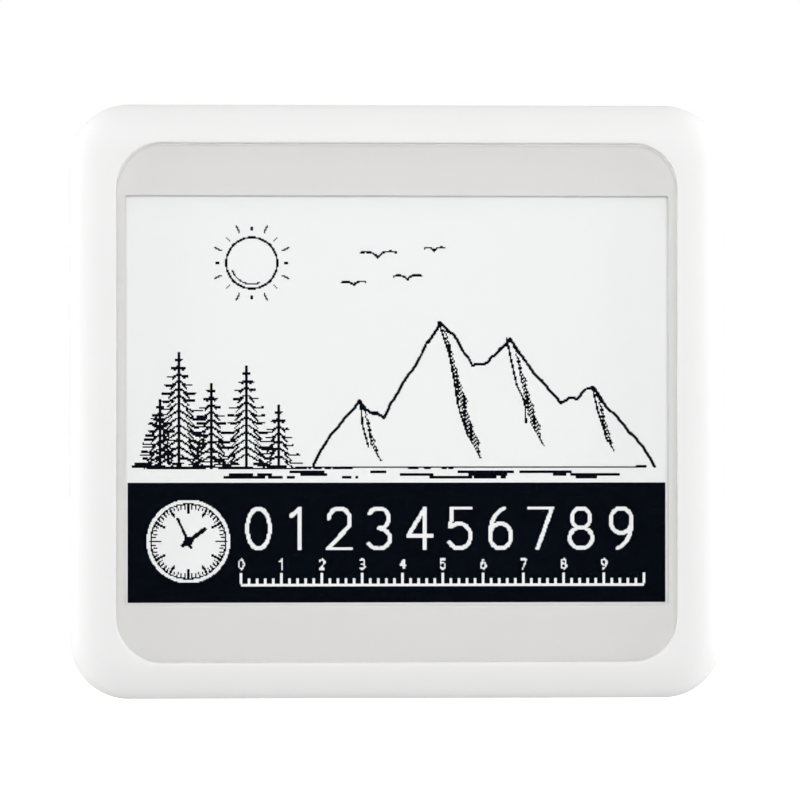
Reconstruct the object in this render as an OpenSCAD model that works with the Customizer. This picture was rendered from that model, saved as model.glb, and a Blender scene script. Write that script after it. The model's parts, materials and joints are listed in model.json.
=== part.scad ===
// Battery-free e-paper tag, read and written over near-field radio.
// Every piece is drawn lying on its back: X runs across the screen, Y up it and Z towards the reader,
// with Z = 0 on the back of the case and X = Y = 0 at its centre. Then it is stood up to face -Y.

/* [Display panel] */
// Width of the area that the pixels fill
active_w = 84.8; // [60:0.1:110]
// Height of the area that the pixels fill
active_h = 63.6; // [45:0.1:85]
// Ink film left round the pixels
ink_border = 1.0; // [0.8:0.05:1.4]
// Thickness of the ink film
ink_t = 0.25; // [0.15:0.05:0.4]
// Width of the sealant round the ink film
seal_w = 0.6; // [0.4:0.05:1]
// Thickness of the protective film
film_t = 0.25; // [0.15:0.05:0.4]
// Glass beyond the pixels at each side
glass_side = 3.1; // [2.5:0.1:5]
// Glass beyond the pixels at the top
glass_top = 3.1; // [2.5:0.1:5]
// Glass beyond the pixels at the bottom, for the driver chip and the flex
glass_ledge = 10.3; // [8.5:0.1:14]
// Thickness of the glass
glass_t = 0.5; // [0.4:0.05:0.8]
// Length of the driver chip
driver_w = 22; // [16:0.5:28]
// Width of the driver chip
driver_h = 1.6; // [1.2:0.1:2]
// Thickness of the driver chip
driver_t = 0.3; // [0.25:0.01:0.36]
// Sealant left round the driver chip
coating_w = 1.0; // [0.6:0.1:1.2]
// Thickness of the sealant round the driver chip
coating_t = 0.2; // [0.15:0.01:0.3]

/* [Window] */
// View opening of the grey frame beyond the pixels at each side
view_side = 0.4; // [0.2:0.05:0.6]
// View opening beyond the pixels at the top
view_top = 0.45; // [0.3:0.05:1.1]
// View opening beyond the pixels at the bottom
view_bottom = 0.35; // [0.2:0.05:0.6]
// Corner radius of the view opening
view_r = 0.4; // [0.3:0.05:0.8]
// Width of the grey frame at each side
frame_side = 1.3; // [1:0.1:2]
// Width of the grey frame at the top
frame_top = 8.15; // [5:0.05:9.5]
// Width of the grey frame at the bottom
frame_bottom = 8.95; // [6:0.05:10.5]
// Thickness of the grey frame
mask_t = 0.1; // [0.05:0.01:0.15]
// Corner radius of the window
window_r = 6.8; // [4:0.1:9]
// Thickness of the window
window_t = 1.0; // [0.7:0.1:1.5]
// Gap left round the window
window_gap = 0.2; // [0.1:0.01:0.3]
// Depth of the window below the front of the case
window_recess = 0.5; // [0.3:0.05:0.8]
// Thickness of the tape under the window
window_tape_t = 0.1; // [0.05:0.01:0.2]

/* [Case] */
// Thickness of the side walls
wall = 1.6; // [1.2:0.1:2.4]
// Thickness of the back wall
back_wall = 1.6; // [1.2:0.1:2.4]
// Thickness of the ledge that carries the window
ledge_t = 0.5; // [0.4:0.05:1]
// Case ledge cut back beyond the pixels
ledge_margin = 1.2; // [1.15:0.01:1.4]
// Radius of the upright corners
corner_r = 9.3; // [7:0.1:12]
// Width of the rounded shoulder along the front edge
shoulder_w = 6.2; // [4:0.1:7.5]
// Drop of the rounded shoulder
shoulder_drop = 3.2; // [2:0.1:4]
// Radius of the edge round the back
back_edge_r = 1.6; // [1:0.1:2.2]
// Free room above the glass
top_room = 10.05; // [8:0.05:14]
// Free room below the glass, for the bend of the flex
bottom_room = 3.25; // [2.6:0.05:5]
// Room behind the circuit board
component_room = 3.9; // [3.2:0.05:6]
// Height of the lip inside the rear cover
lip_h = 1.0; // [0.7:0.1:1.3]
// Thickness of the lip
lip_t = 0.9; // [0.7:0.1:1.2]
// Clearance round the lip
lip_gap = 0.15; // [0.1:0.01:0.25]
// Width of the seam between the two case halves
seam_gap = 0.2; // [0.1:0.01:0.3]

/* [Circuit board] */
// Thickness of the board
board_t = 1.0; // [0.8:0.05:1.6]
// Gap between the board and the case
board_gap = 0.5; // [0.3:0.05:0.7]
// Thickness of the tape between the board and the glass
panel_tape_t = 0.3; // [0.2:0.01:0.5]
// Turns of the antenna
coil_turns = 5; // [3:1:6]
// Width of the antenna track
track_w = 0.8; // [0.5:0.05:1]
// Gap between the turns of the antenna
track_gap = 0.6; // [0.45:0.05:0.8]
// Thickness of the antenna track
track_t = 0.05; // [0.035:0.005:0.1]
// Board left outside the antenna
coil_inset = 5.4; // [5:0.1:7]

/* [Flex and its connector] */
// Width of the flex where it is bonded to the glass
flex_w = 24; // [18:0.5:30]
// Width of the tail of the flex
tail_w = 12.5; // [12.3:0.1:14.9]
// Thickness of the flex
flex_t = 0.12; // [0.08:0.01:0.16]
// Length of the flex from its bend to the connector
flex_run = 12.6; // [11:0.1:16]
// Length of the tail held in the connector
tail_insert = 1.5; // [1.2:0.05:1.8]
// Thickness of the stiffener behind the tail
stiffener_t = 0.18; // [0.12:0.01:0.24]
// Width of the connector
connector_w = 15.5; // [15:0.1:19]
// Depth of the connector
connector_d = 4.6; // [4.2:0.1:6]
// Height of the connector
connector_h = 1.9; // [1.8:0.05:2.4]
// Length of the latch beyond its pins
latch_l = 1.9; // [1.5:0.05:2]
// Thickness of the latch
latch_t = 0.66; // [0.56:0.01:0.72]
// Radius of the latch pins
latch_pin_r = 0.22; // [0.18:0.01:0.26]

/* [Screws] */
// Radius of the case screws
case_screw_r = 1.0; // [0.8:0.05:1.25]
// Length of the case screws under the head
case_screw_l = 6.0; // [5:0.1:7]
// Radius of the heads of the case screws
case_head_r = 1.75; // [1.5:0.05:2.1]
// Height of the heads of the case screws
case_head_h = 1.2; // [0.9:0.05:1.4]
// Radius of the bosses that take the case screws
boss_r = 2.1; // [1.7:0.05:2.5]
// Distance from the end walls to the case screws
boss_drop = 11.15; // [9:0.05:14]
// Radius of the board screws
board_screw_r = 0.8; // [0.6:0.05:1]
// Length of the board screws under the head
board_screw_l = 3.0; // [2.2:0.1:3.5]
// Radius of the heads of the board screws
board_head_r = 1.4; // [1.1:0.05:1.65]
// Height of the heads of the board screws
board_head_h = 0.8; // [0.6:0.05:0.95]

/* [Hidden] */
$fn = 48;

// Shared by all cuts and all fits
overrun = 0.5;
screw_play = 0.04;
panel_gap = 0.3;
sink = 0.1;

// Heights of the stack, from the back of the case to its front
head_gap = 0.25;
board_low = back_wall + component_room;
board_high = board_low + board_t;
glass_low = board_high + panel_tape_t;
glass_high = glass_low + glass_t;
ink_high = glass_high + ink_t;
ceiling = ink_high + film_t;
ledge_high = ceiling + ledge_t;
mask_low = ledge_high + window_tape_t;
window_low = mask_low + mask_t;
window_high = window_low + window_t;
case_d = window_high + window_recess;
lip_high = board_low - board_head_h - head_gap;
seam_low = lip_high - lip_h;
seam_high = seam_low + seam_gap;

// Width and height of the case, built outwards from the glass
side_room = panel_gap + 2 * boss_r - sink;
glass_w = active_w + 2 * glass_side;
cavity_w = glass_w + 2 * side_room;
cavity_h = active_h + glass_top + glass_ledge + top_room + bottom_room;
case_w = cavity_w + 2 * wall;
case_h = cavity_h + 2 * wall;
glass_y = -cavity_h / 2 + bottom_room;
active_low = [-active_w / 2, glass_y + glass_ledge];
active_high = [active_w / 2, glass_y + glass_ledge + active_h];
glass_high_y = active_high.y + glass_top;

// Corners of the view opening, the window and the opening in the case
view_low = active_low - [view_side, view_bottom];
view_high = active_high + [view_side, view_top];
window_low_corner = view_low - [frame_side, frame_bottom];
window_high_corner = view_high + [frame_side, frame_top];

// Places of the screws
screw_x = glass_w / 2 + panel_gap + boss_r;
boss_y = cavity_h / 2 - boss_drop;
standoff_y_share = 0.17;
standoff_y = case_h * standoff_y_share;
standoff_wall = 0.9;
standoff_r = board_screw_r + standoff_wall;
hole_play = 0.15;
pilot_extra = 0.3;
head_recess = 0.2;
head_play = 0.2;
seat_z = head_recess + case_head_h;
pad_t = 1.1;
pad_high = seat_z + pad_t;
pad_wall = 1.2;
pad_r = case_head_r + pad_wall;
seat_gap = 0.1;

// Shoulder, seam and rib details of the case
shoulder_steps = 16;
back_edge_steps = 8;
edge_cut = 0.15;
rib_t = 0.8;
rib_l = 5.0;
rib_gap = 0.25;
side_rib_share = 0.3;
end_rib_share = 0.33;
post_r = 1.5;
post_gap = 0.2;
post_shares = [[-0.45, -0.4], [0.45, -0.4], [-0.45, 0.12], [0.45, 0.12]];

// The board, and the room inside its antenna
board_w = cavity_w - 2 * board_gap;
board_h = cavity_h - 2 * board_gap;
board_r = corner_r - wall - board_gap;
flex_notch = 1.5;
flex_notch_rise = 0.7;
coil_pitch = track_w + track_gap;
coil_end_turns = 2;
coil_a = board_w / 2 - coil_inset - track_w / 2;
coil_b = board_h / 2 - coil_inset - track_w / 2;
field_w = 2 * (coil_a - (coil_turns - 1) * coil_pitch) - track_w;
field_h = 2 * (coil_b - (coil_turns - 1) * coil_pitch) - track_w;
tape_h = 9.0;
tape_inset = 6.0;
tape_shares = [0.14, 0.5, 0.86];
window_tape_inset = 0.5;

// The flex: bonded to the glass, bent round its lower edge and run up behind the board
bond_w = 1.5;
flex_lead = 0.7;
slot_rise = 0.75;
bend_y = glass_y - flex_lead;
flex_front = glass_high + flex_t / 2;
flex_rear = board_low - slot_rise;
bend_r = (flex_front - flex_rear) / 2;
neck_start = 3.0;
neck_l = 4.0;
stiffener_l = 4.5;
mouth_y = bend_y + flex_run;
tail_y = mouth_y + tail_insert;

// The connector, with heights above the board
slot_play = 0.06;
slot_side_play = 0.2;
slot_extra = 0.5;
slot_low = slot_rise - flex_t / 2 - slot_play;
slot_high = slot_rise + flex_t / 2 + stiffener_t + slot_play;
cheek_w = 0.6;
latch_play = 0.05;
latch_lift = 0.02;
swing_gap = 0.1;
latch_pin_l = 0.45;
latch_w = connector_w - 2 * cheek_w - 2 * latch_play;
pivot_inset = 1.6;
pivot_y = mouth_y + pivot_inset;
pivot_h = slot_high + latch_lift + latch_t / 2;
contact_count = 24;
contact_pitch = 0.5;
contact_w = 0.2;
contact_t = 0.15;
contact_play = 0.05;
contact_lip = 0.4;
contact_foot = 0.8;
contact_root = 3.5;
contact_bump = 1.1;
contact_tip = 0.8;
contact_tip_h = 0.35;
contact_reach = slot_rise - flex_t / 2 - slot_play / 2;

// Packages on the board: [length, width, height], and their places as shares of the room in the antenna
mcu_size = [7.0, 7.0, 0.85];
mcu_share = [-0.16, 0.1];
nfc_size = [4.9, 3.9, 1.5];
nfc_share = [0.17, 0.17];
nfc_lead = [0.42, 1.05, 0.2];
nfc_pitch = 1.27;
nfc_leads = 4;
small_chip = [2.9, 1.6, 1.1];
small_lead = [0.4, 0.6, 0.15];
small_pitch = 0.95;
regulator_share = [0.33, 0.04];
transistor_share = [-0.19, -0.2];
inductor_size = [4.0, 4.0, 1.8];
inductor_core_r = 1.55;
inductor_top = 0.3;
inductor_share = [-0.32, -0.2];
diode_size = [2.7, 1.6, 1.1];
diode_lead = [0.6, 0.5, 0.15];
booster_shares = [[-0.1, -0.2], [-0.02, -0.2], [0.06, -0.2]];
bridge_shares = [[0.29, 0.2], [0.39, 0.2], [0.29, 0.28], [0.39, 0.28]];
reservoir_size = [3.5, 2.8, 1.9];
reservoir_lead = [2.2, 0.3, 0.15];
reservoir_shares = [[0.24, -0.12], [0.35, -0.12], [0.24, -0.22], [0.35, -0.22]];
ceramic_size = [1.6, 0.8, 0.8];
ceramic_shares = concat(
    [for (i = [0 : 7]) [-0.175 + 0.05 * i, -0.29]],
    [for (i = [0 : 3]) [-0.22 + 0.045 * i, 0.24]],
    [for (i = [0 : 2]) [-0.29, 0.03 + 0.06 * i]]);
tuning_shares = [[0.38, 0.42], [0.42, 0.42], [0.46, 0.42]];
resistor_size = [1.6, 0.8, 0.45];
resistor_shares = concat(
    [for (i = [0 : 3]) [-0.22 + 0.045 * i, -0.03]],
    [for (i = [0 : 3]) [0.03 + 0.06 * i, -0.02]]);
band_share = 0.22;

// Colours
case_white = "#F4F4F2";
mask_grey = "#D8D7D5";
paper_white = "#F1F1EF";
glass_tint = "#B9C4C2";
board_green = "#1F5B3A";
flex_amber = "#C98A2B";
copper = "#C6864B";
black_resin = "#222326";
tin = "#C9CACC";
steel = "#A9ABAE";

// Stands a piece up: its front turns to face -Y
module stand_up() rotate([90, 0, 0]) children();

// Rectangle from its low corner to its high corner, with round corners
module rounded(low, high, r) {
    size = high - low;
    translate(low + [r, 0]) square([size.x - 2 * r, size.y]);
    translate(low + [0, r]) square([size.x, size.y - 2 * r]);
    for (x = [low.x + r, high.x - r], y = [low.y + r, high.y - r]) translate([x, y]) circle(r);
}

// Flat plate between two heights, with round corners
module plate(low, high, r, z_low, z_high) {
    translate([0, 0, z_low]) linear_extrude(z_high - z_low) rounded(low, high, r);
}

// Flat plate between two heights, with square corners
module sheet(low, high, z_low, z_high) {
    translate([low.x, low.y, z_low]) cube([high.x - low.x, high.y - low.y, z_high - z_low]);
}

// Plate about the centre, of the size of the case less an inset
module case_plate(inset, z_low, z_high) {
    half = [case_w / 2 - inset, case_h / 2 - inset];
    plate(-half, half, corner_r - inset, z_low, z_high);
}

// Block whose edge follows a profile of [inset, height] points all the way round the case
module edged_block(profile) {
    low = profile[0].y;
    high = profile[len(profile) - 1].y;
    section = concat([for (p = profile) [corner_r - p.x, p.y]], [[0, high], [0, low]]);
    straight = [case_w - 2 * corner_r, case_h - 2 * corner_r];
    for (turn = [0 : 3]) rotate([0, 0, 90 * turn]) {
        side = turn % 2 == 0 ? straight : [straight.y, straight.x];
        translate([side.x / 2, side.y / 2, 0]) rotate_extrude(angle = 90) polygon(section);
        translate([side.x / 2, 0, 0]) rotate([90, 0, 0]) linear_extrude(side.y, center = true)
            polygon(section);
    }
    translate([-straight.x / 2, -straight.y / 2, low]) cube([straight.x, straight.y, high - low]);
}

// Copies a piece to the four corners of a rectangle about the centre
module at_corners(x, y) for (sx = [-1, 1], sy = [-1, 1]) translate([sx * x, sy * y, 0]) children();

// Rod along Z between two heights
module rod(r, z_low, z_high) translate([0, 0, z_low]) cylinder(h = z_high - z_low, r = r);

// Places a piece on the back of the board, with its height growing away from the board
module on_board(x, y) translate([x, y, board_low]) mirror([0, 0, 1]) children();

// Places a piece on the back of the board by its share of the room inside the antenna
module on_field(share) on_board(share.x * field_w, share.y * field_h) children();

// Pan-head screw with a cross recess, its head below z = 0 and its shank above
module pan_screw(r, l, head_r, head_h) {
    dome = head_h / 3;
    slot_w = head_r / 4;
    difference() {
        union() {
            rod(head_r, -head_h + dome, 0);
            translate([0, 0, -head_h]) cylinder(h = dome, r1 = head_r - dome, r2 = head_r);
            rod(r, 0, l - r / 2);
            translate([0, 0, l - r / 2]) cylinder(h = r / 2, r1 = r, r2 = r / 2);
        }
        for (turn = [0, 90]) rotate([0, 0, turn]) translate([-head_r / 2, -slot_w / 2, -head_h - overrun])
            cube([head_r, slot_w, head_h / 2 + overrun]);
    }
}

// Moulded package with bent leads along both long sides
module leaded_package(size, lead, side_a, side_b) {
    lead_high = size.z / 2;
    translate([-size.x / 2, -size.y / 2, lead.z]) cube([size.x, size.y, size.z - lead.z]);
    for (x = side_a) translate([x, size.y / 2, 0]) bent_lead(lead, lead_high);
    for (x = side_b) translate([x, -size.y / 2, 0]) rotate([0, 0, 180]) bent_lead(lead, lead_high);
}

// One lead: out of the package, down and out along the board
module bent_lead(lead, high) {
    knee = lead.y / 2;
    rotate([90, 0, 90]) linear_extrude(lead.x, center = true) polygon([
        [-lead.z, high], [knee, high], [knee, lead.z], [lead.y, lead.z], [lead.y, 0],
        [knee - lead.z, 0], [knee - lead.z, high - lead.z], [-lead.z, high - lead.z]]);
}

// Chip resistor or capacitor: a body between two end caps that stand out round it
module chip_block(size) {
    cap = size.x * band_share;
    proud = size.z / 20;
    difference() {
        translate([-size.x / 2, -size.y / 2, 0]) cube(size);
        for (side = [-1, 1]) translate([-size.x / 2 + cap, side * size.y / 2 - proud, -overrun])
            cube([size.x - 2 * cap, 2 * proud, size.z + 2 * overrun]);
        translate([-size.x / 2 + cap, -size.y, size.z - proud]) cube([size.x - 2 * cap, 2 * size.y, overrun]);
    }
}

// Front half of the case: the rim, the ledge for the window, and the bosses
module front_case() color(case_white) stand_up() {
    shoulder = [for (i = [0 : shoulder_steps]) let (a = 90 * i / shoulder_steps)
        [shoulder_w * (1 - cos(a)), case_d - shoulder_drop * (1 - sin(a))]];
    gap = [window_gap, window_gap];
    ledge = [ledge_margin, ledge_margin];
    difference() {
        union() {
            difference() {
                edged_block(concat([[edge_cut, seam_high], [0, seam_high + edge_cut]], shoulder));
                case_plate(wall, seam_high - overrun, ceiling);
                plate(window_low_corner - gap, window_high_corner + gap, window_r + window_gap,
                    ledge_high, case_d + overrun);
                plate(active_low - ledge, active_high + ledge, view_r, ceiling - overrun, case_d);
            }
            at_corners(screw_x, boss_y) rod(boss_r, pad_high + seat_gap, ceiling + sink);
            at_corners(screw_x, standoff_y) rod(standoff_r, board_high, ceiling + sink);
            panel_ribs();
        }
        at_corners(screw_x, boss_y)
            rod(case_screw_r + screw_play, pad_high, seat_z + case_screw_l + pilot_extra);
        at_corners(screw_x, standoff_y)
            rod(board_screw_r + screw_play, board_high - overrun, board_low + board_screw_l + pilot_extra);
    }
}

// Short ribs under the front that keep the glass in its place
module panel_ribs() {
    glass_mid = (glass_y + glass_high_y) / 2;
    side_x = glass_w / 2 + rib_gap;
    for (sx = [-1, 1]) {
        for (sy = [-1, 1]) translate([sx * (side_x + rib_t / 2),
            glass_mid + sy * side_rib_share * (glass_high_y - glass_y), glass_low])
            centred_rib([rib_t, rib_l]);
        for (y = [glass_y - rib_gap - rib_t / 2, glass_high_y + rib_gap + rib_t / 2])
            translate([sx * end_rib_share * glass_w, y, glass_low]) centred_rib([rib_l, rib_t]);
    }
}

// One rib, centred across its place
module centred_rib(size) translate([-size.x / 2, -size.y / 2, 0])
    cube([size.x, size.y, ceiling - glass_low + sink]);

// Clear window in the front of the case
module window() color([0.93, 0.95, 0.95, 0.35]) stand_up()
    plate(window_low_corner, window_high_corner, window_r, window_low, window_high);

// Grey frame printed on a film behind the window
module grey_mask() color(mask_grey) stand_up() difference() {
    plate(window_low_corner, window_high_corner, window_r, mask_low, window_low);
    plate(view_low, view_high, view_r, mask_low - overrun, window_low + overrun);
}

// Tape that bonds the window to the ledge, above and below the view opening
module window_tape() color("#EDEDEA") stand_up() {
    inset = [window_tape_inset, window_tape_inset];
    keep = ledge_margin + window_tape_inset;
    difference() {
        plate(window_low_corner + inset, window_high_corner - inset, window_r - window_tape_inset,
            ledge_high, mask_low);
        sheet([-case_w, active_low.y - keep], [case_w, active_high.y + keep], 0, case_d);
    }
}

// Clear film over the ink
module protective_film() color([0.94, 0.95, 0.94, 0.6]) stand_up() {
    border = ink_border + seal_w;
    sheet(active_low - [border, border], active_high + [border, border], ink_high, ceiling);
}

// Film of ink capsules that holds the picture
module ink_film() color(paper_white) stand_up() {
    border = [ink_border, ink_border];
    sheet(active_low - border, active_high + border, glass_high, ink_high);
}

// Bead of sealant round the ink film
module edge_seal() color("#CFCFCB") stand_up() {
    inner = [ink_border, ink_border];
    outer = inner + [seal_w, seal_w];
    difference() {
        sheet(active_low - outer, active_high + outer, glass_high, ink_high);
        sheet(active_low - inner, active_high + inner, glass_high - overrun, ink_high + overrun);
    }
}

// Glass with the pixel circuit, and a ledge below for the driver chip
module panel_glass() color(glass_tint) stand_up()
    sheet([-glass_w / 2, glass_y], [glass_w / 2, glass_high_y], glass_low, glass_high);

// Middle of the ledge between the flex and the films
driver_y = (glass_y + bond_w + active_low.y - ink_border - seal_w) / 2;

// Driver chip bonded to the ledge of the glass
module driver_chip() color("#3A3D42") stand_up()
    sheet([-driver_w / 2, driver_y - driver_h / 2], [driver_w / 2, driver_y + driver_h / 2],
        glass_high, glass_high + driver_t);

// Sealant round the driver chip
module driver_coating() color("#4A4E55") stand_up() {
    chip = [driver_w / 2, driver_h / 2];
    border = [coating_w, coating_w];
    centre = [0, driver_y];
    difference() {
        sheet(centre - chip - border, centre + chip + border, glass_high, glass_high + coating_t);
        sheet(centre - chip, centre + chip, glass_high - overrun, glass_high + coating_t + overrun);
    }
}

// Flexible circuit from the glass to the connector
module panel_flex() color(flex_amber) stand_up() {
    half = flex_w / 2;
    tail = tail_w / 2;
    neck_y = bend_y + neck_start + neck_l;
    sheet([-half, bend_y], [half, glass_y + bond_w], flex_front - flex_t / 2, flex_front + flex_t / 2);
    translate([0, bend_y, (flex_front + flex_rear) / 2]) rotate([0, 90, 0]) rotate([0, 0, 180])
        half_ring(bend_r - flex_t / 2, bend_r + flex_t / 2, flex_w);
    translate([0, 0, flex_rear - flex_t / 2]) linear_extrude(flex_t) polygon([
        [-half, bend_y], [half, bend_y], [half, bend_y + neck_start], [tail, neck_y],
        [tail, tail_y], [-tail, tail_y], [-tail, neck_y], [-half, bend_y + neck_start]]);
}

// Half of a ring about Z, on the +Y side, centred along Z
module half_ring(r_in, r_out, l) rotate_extrude(angle = 180) translate([r_in, -l / 2])
    square([r_out - r_in, l]);

// Stiffener glued behind the tail of the flex
module flex_stiffener() color("#2E6FB0") stand_up()
    sheet([-tail_w / 2, tail_y - stiffener_l], [tail_w / 2, tail_y],
        flex_rear - flex_t / 2 - stiffener_t, flex_rear - flex_t / 2);

// Strips of tape between the glass and the board
module panel_tape() color("#E9E4D2") stand_up() for (share = tape_shares) {
    y = glass_y + share * (glass_high_y - glass_y);
    sheet([-glass_w / 2 + tape_inset, y - tape_h / 2], [glass_w / 2 - tape_inset, y + tape_h / 2],
        board_high, glass_low);
}

// Circuit board, notched round the case bosses and behind the bend of the flex
module circuit_board() color(board_green) stand_up() {
    half = [board_w / 2, board_h / 2];
    notch = flex_w / 2 + flex_notch;
    difference() {
        plate(-half, half, board_r, board_low, board_high);
        at_corners(screw_x, boss_y) rod(boss_r + panel_gap, 0, case_d);
        at_corners(screw_x, standoff_y) rod(board_screw_r + hole_play, 0, case_d);
        sheet([-notch, -case_h], [notch, glass_y + flex_notch_rise], 0, case_d);
    }
}

// Antenna: one track wound inwards round the edge of the board
module antenna_coil() color(copper) stand_up() translate([0, 0, board_low - track_t]) linear_extrude(track_t)
    for (turn = [0 : coil_turns - 1]) {
        a = coil_a - turn * coil_pitch;
        b = coil_b - turn * coil_pitch;
        above = turn == 0 ? b : b + coil_pitch;
        beyond = a - (turn == coil_turns - 1 ? coil_end_turns : 1) * coil_pitch;
        track([a, above], [a, -b]);
        track([a, -b], [-a, -b]);
        track([-a, -b], [-a, b]);
        track([-a, b], [beyond, b]);
    }

// One straight leg of the track, square to the board
module track(from, to) {
    pad = [track_w / 2, track_w / 2];
    low = [min(from.x, to.x), min(from.y, to.y)] - pad;
    high = [max(from.x, to.x), max(from.y, to.y)] + pad;
    translate(low) square(high - low);
}

// Housing of the connector, open at its mouth and under the latch
module flex_connector() color("#E6DFCF") stand_up() on_board(0, mouth_y) difference() {
    inner_w = connector_w - 2 * cheek_w;
    slot_w = tail_w + 2 * slot_side_play;
    latch_d = pivot_inset + latch_t / 2 + swing_gap;
    groove_w = contact_w + 2 * contact_play;
    translate([-connector_w / 2, 0, 0]) cube([connector_w, connector_d, connector_h]);
    translate([-slot_w / 2, -overrun, slot_low])
        cube([slot_w, tail_insert + slot_extra + overrun, slot_high - slot_low]);
    translate([-inner_w / 2, -overrun, slot_high]) cube([inner_w, latch_d + overrun, connector_h]);
    translate([0, pivot_inset, pivot_h]) rotate([0, 90, 0])
        cylinder(h = connector_w + 2 * overrun, r = latch_pin_r + screw_play, center = true);
    for (i = [0 : contact_count - 1]) translate([contact_x(i) - groove_w / 2, contact_lip, -overrun])
        cube([groove_w, connector_d, slot_low + overrun]);
}

function contact_x(i) = (i - (contact_count - 1) / 2) * contact_pitch;

// Spring contacts of the connector, with their feet on the board
module connector_contacts() color("#D9B25A") stand_up() on_board(0, mouth_y) {
    foot_end = connector_d + contact_foot;
    for (i = [0 : contact_count - 1]) translate([contact_x(i), 0, 0]) rotate([90, 0, 90])
        linear_extrude(contact_w, center = true) polygon([
            [foot_end, 0], [foot_end, contact_t], [contact_root, contact_t],
            [contact_bump, contact_reach], [contact_tip, contact_reach - contact_t],
            [contact_tip, contact_tip_h], [contact_root - contact_bump, 0]]);
}

// Latch of the connector, which turns on a pin at each end
module connector_latch() color(black_resin) stand_up() on_board(0, pivot_y) translate([0, 0, pivot_h]) {
    translate([-latch_w / 2, -latch_l, -latch_t / 2]) cube([latch_w, latch_l, latch_t]);
    rotate([0, 90, 0]) cylinder(h = latch_w, r = latch_t / 2, center = true);
    rotate([0, 90, 0]) cylinder(h = latch_w + 2 * latch_pin_l, r = latch_pin_r, center = true);
}

// Radio chip that the reader powers through the antenna
module nfc_chip() color(black_resin) stand_up() on_field(nfc_share) {
    places = [for (i = [0 : nfc_leads - 1]) (i - (nfc_leads - 1) / 2) * nfc_pitch];
    leaded_package(nfc_size, nfc_lead, places, places);
}

// Processor, a square package with no leads
module microcontroller() color(black_resin) stand_up() on_field(mcu_share)
    translate([-mcu_size.x / 2, -mcu_size.y / 2, 0]) cube(mcu_size);

// Regulator for the harvested power, with five leads
module voltage_regulator() color(black_resin) stand_up() on_field(regulator_share)
    leaded_package(small_chip, small_lead, [-small_pitch, 0, small_pitch], [-small_pitch, small_pitch]);

// Transistor that drives the inductor, with three leads
module boost_transistor() color(black_resin) stand_up() on_field(transistor_share)
    leaded_package(small_chip, small_lead, [0], [-small_pitch, small_pitch]);

// Inductor of the high-voltage supply: a ferrite box with its round core showing
module boost_inductor() color("#4B4C4F") stand_up() on_field(inductor_share) {
    difference() {
        translate([-inductor_size.x / 2, -inductor_size.y / 2, 0]) cube(inductor_size);
        translate([0, 0, inductor_size.z - inductor_top]) difference() {
            cylinder(h = inductor_size.z, r = inductor_core_r);
            cylinder(h = inductor_size.z, r = inductor_core_r - inductor_top / 2);
        }
    }
}

// Diodes of the high-voltage supply
module booster_diodes() color(black_resin) stand_up() for (share = booster_shares) on_field(share)
    rotate([0, 0, 90]) leaded_diode();

// Diodes that rectify the antenna's current
module bridge_diodes() color(black_resin) stand_up() for (share = bridge_shares) on_field(share)
    leaded_diode();

// Moulded diode with a flat lead at each end
module leaded_diode() {
    translate([-diode_size.x / 2, -diode_size.y / 2, diode_lead.z])
        cube([diode_size.x, diode_size.y, diode_size.z - diode_lead.z]);
    translate([-diode_size.x / 2 - diode_lead.y, -diode_lead.x / 2, 0])
        cube([diode_size.x + 2 * diode_lead.y, diode_lead.x, 2 * diode_lead.z]);
}

// Tantalum capacitors that store the harvested power
module reservoir_capacitors() color("#D9A441") stand_up() for (share = reservoir_shares) on_field(share) {
    lead = reservoir_lead;
    translate([-reservoir_size.x / 2 + lead.z, -reservoir_size.y / 2, lead.z])
        cube([reservoir_size.x - 2 * lead.z, reservoir_size.y, reservoir_size.z - lead.z]);
    translate([-reservoir_size.x / 2, -lead.x / 2, 0]) cube([reservoir_size.x, lead.x, reservoir_size.z / 2]);
}

// Ceramic capacitors of the high-voltage supply and the processor
module ceramic_capacitors() color("#B08D62") stand_up() for (share = ceramic_shares) on_field(share)
    rotate([0, 0, 90]) chip_block(ceramic_size);

// Ceramic capacitors that tune the antenna
module tuning_capacitors() color("#B08D62") stand_up() for (share = tuning_shares) on_field(share)
    rotate([0, 0, 90]) chip_block(ceramic_size);

// Chip resistors
module resistors() color(black_resin) stand_up() for (share = resistor_shares) on_field(share)
    rotate([0, 0, 90]) chip_block(resistor_size);

// Screws that hold the board to the front half
module board_screws() color(steel) stand_up() at_corners(screw_x, standoff_y)
    translate([0, 0, board_low]) pan_screw(board_screw_r, board_screw_l, board_head_r, board_head_h);

// Rear half of the case: a flat back with a lip, screw seats and posts behind the board
module rear_cover() color(case_white) stand_up() difference() {
    inner = wall + lip_gap + lip_t;
    union() {
        difference() {
            union() {
                edged_block(concat(
                    [for (i = [0 : back_edge_steps]) let (a = 90 * i / back_edge_steps)
                        back_edge_r * [1 - sin(a), 1 - cos(a)]],
                    [[0, seam_low - edge_cut], [edge_cut, seam_low]]));
                case_plate(wall + lip_gap, seam_low - sink, lip_high);
            }
            case_plate(inner, back_wall, case_d);
        }
        at_corners(screw_x, boss_y) rod(pad_r, back_wall - sink, pad_high);
        for (share = post_shares) translate([share.x * field_w, share.y * field_h, 0])
            rod(post_r, back_wall - sink, board_low - track_t - post_gap);
    }
    at_corners(screw_x, boss_y) {
        rod(boss_r + head_play, pad_high, case_d);
        rod(case_head_r + head_play, -overrun, seat_z);
        rod(case_screw_r + hole_play, 0, pad_high + overrun);
    }
}

// Screws that hold the two halves of the case together
module case_screws() color(steel) stand_up() at_corners(screw_x, boss_y) translate([0, 0, seat_z])
    pan_screw(case_screw_r, case_screw_l, case_head_r, case_head_h);

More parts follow.
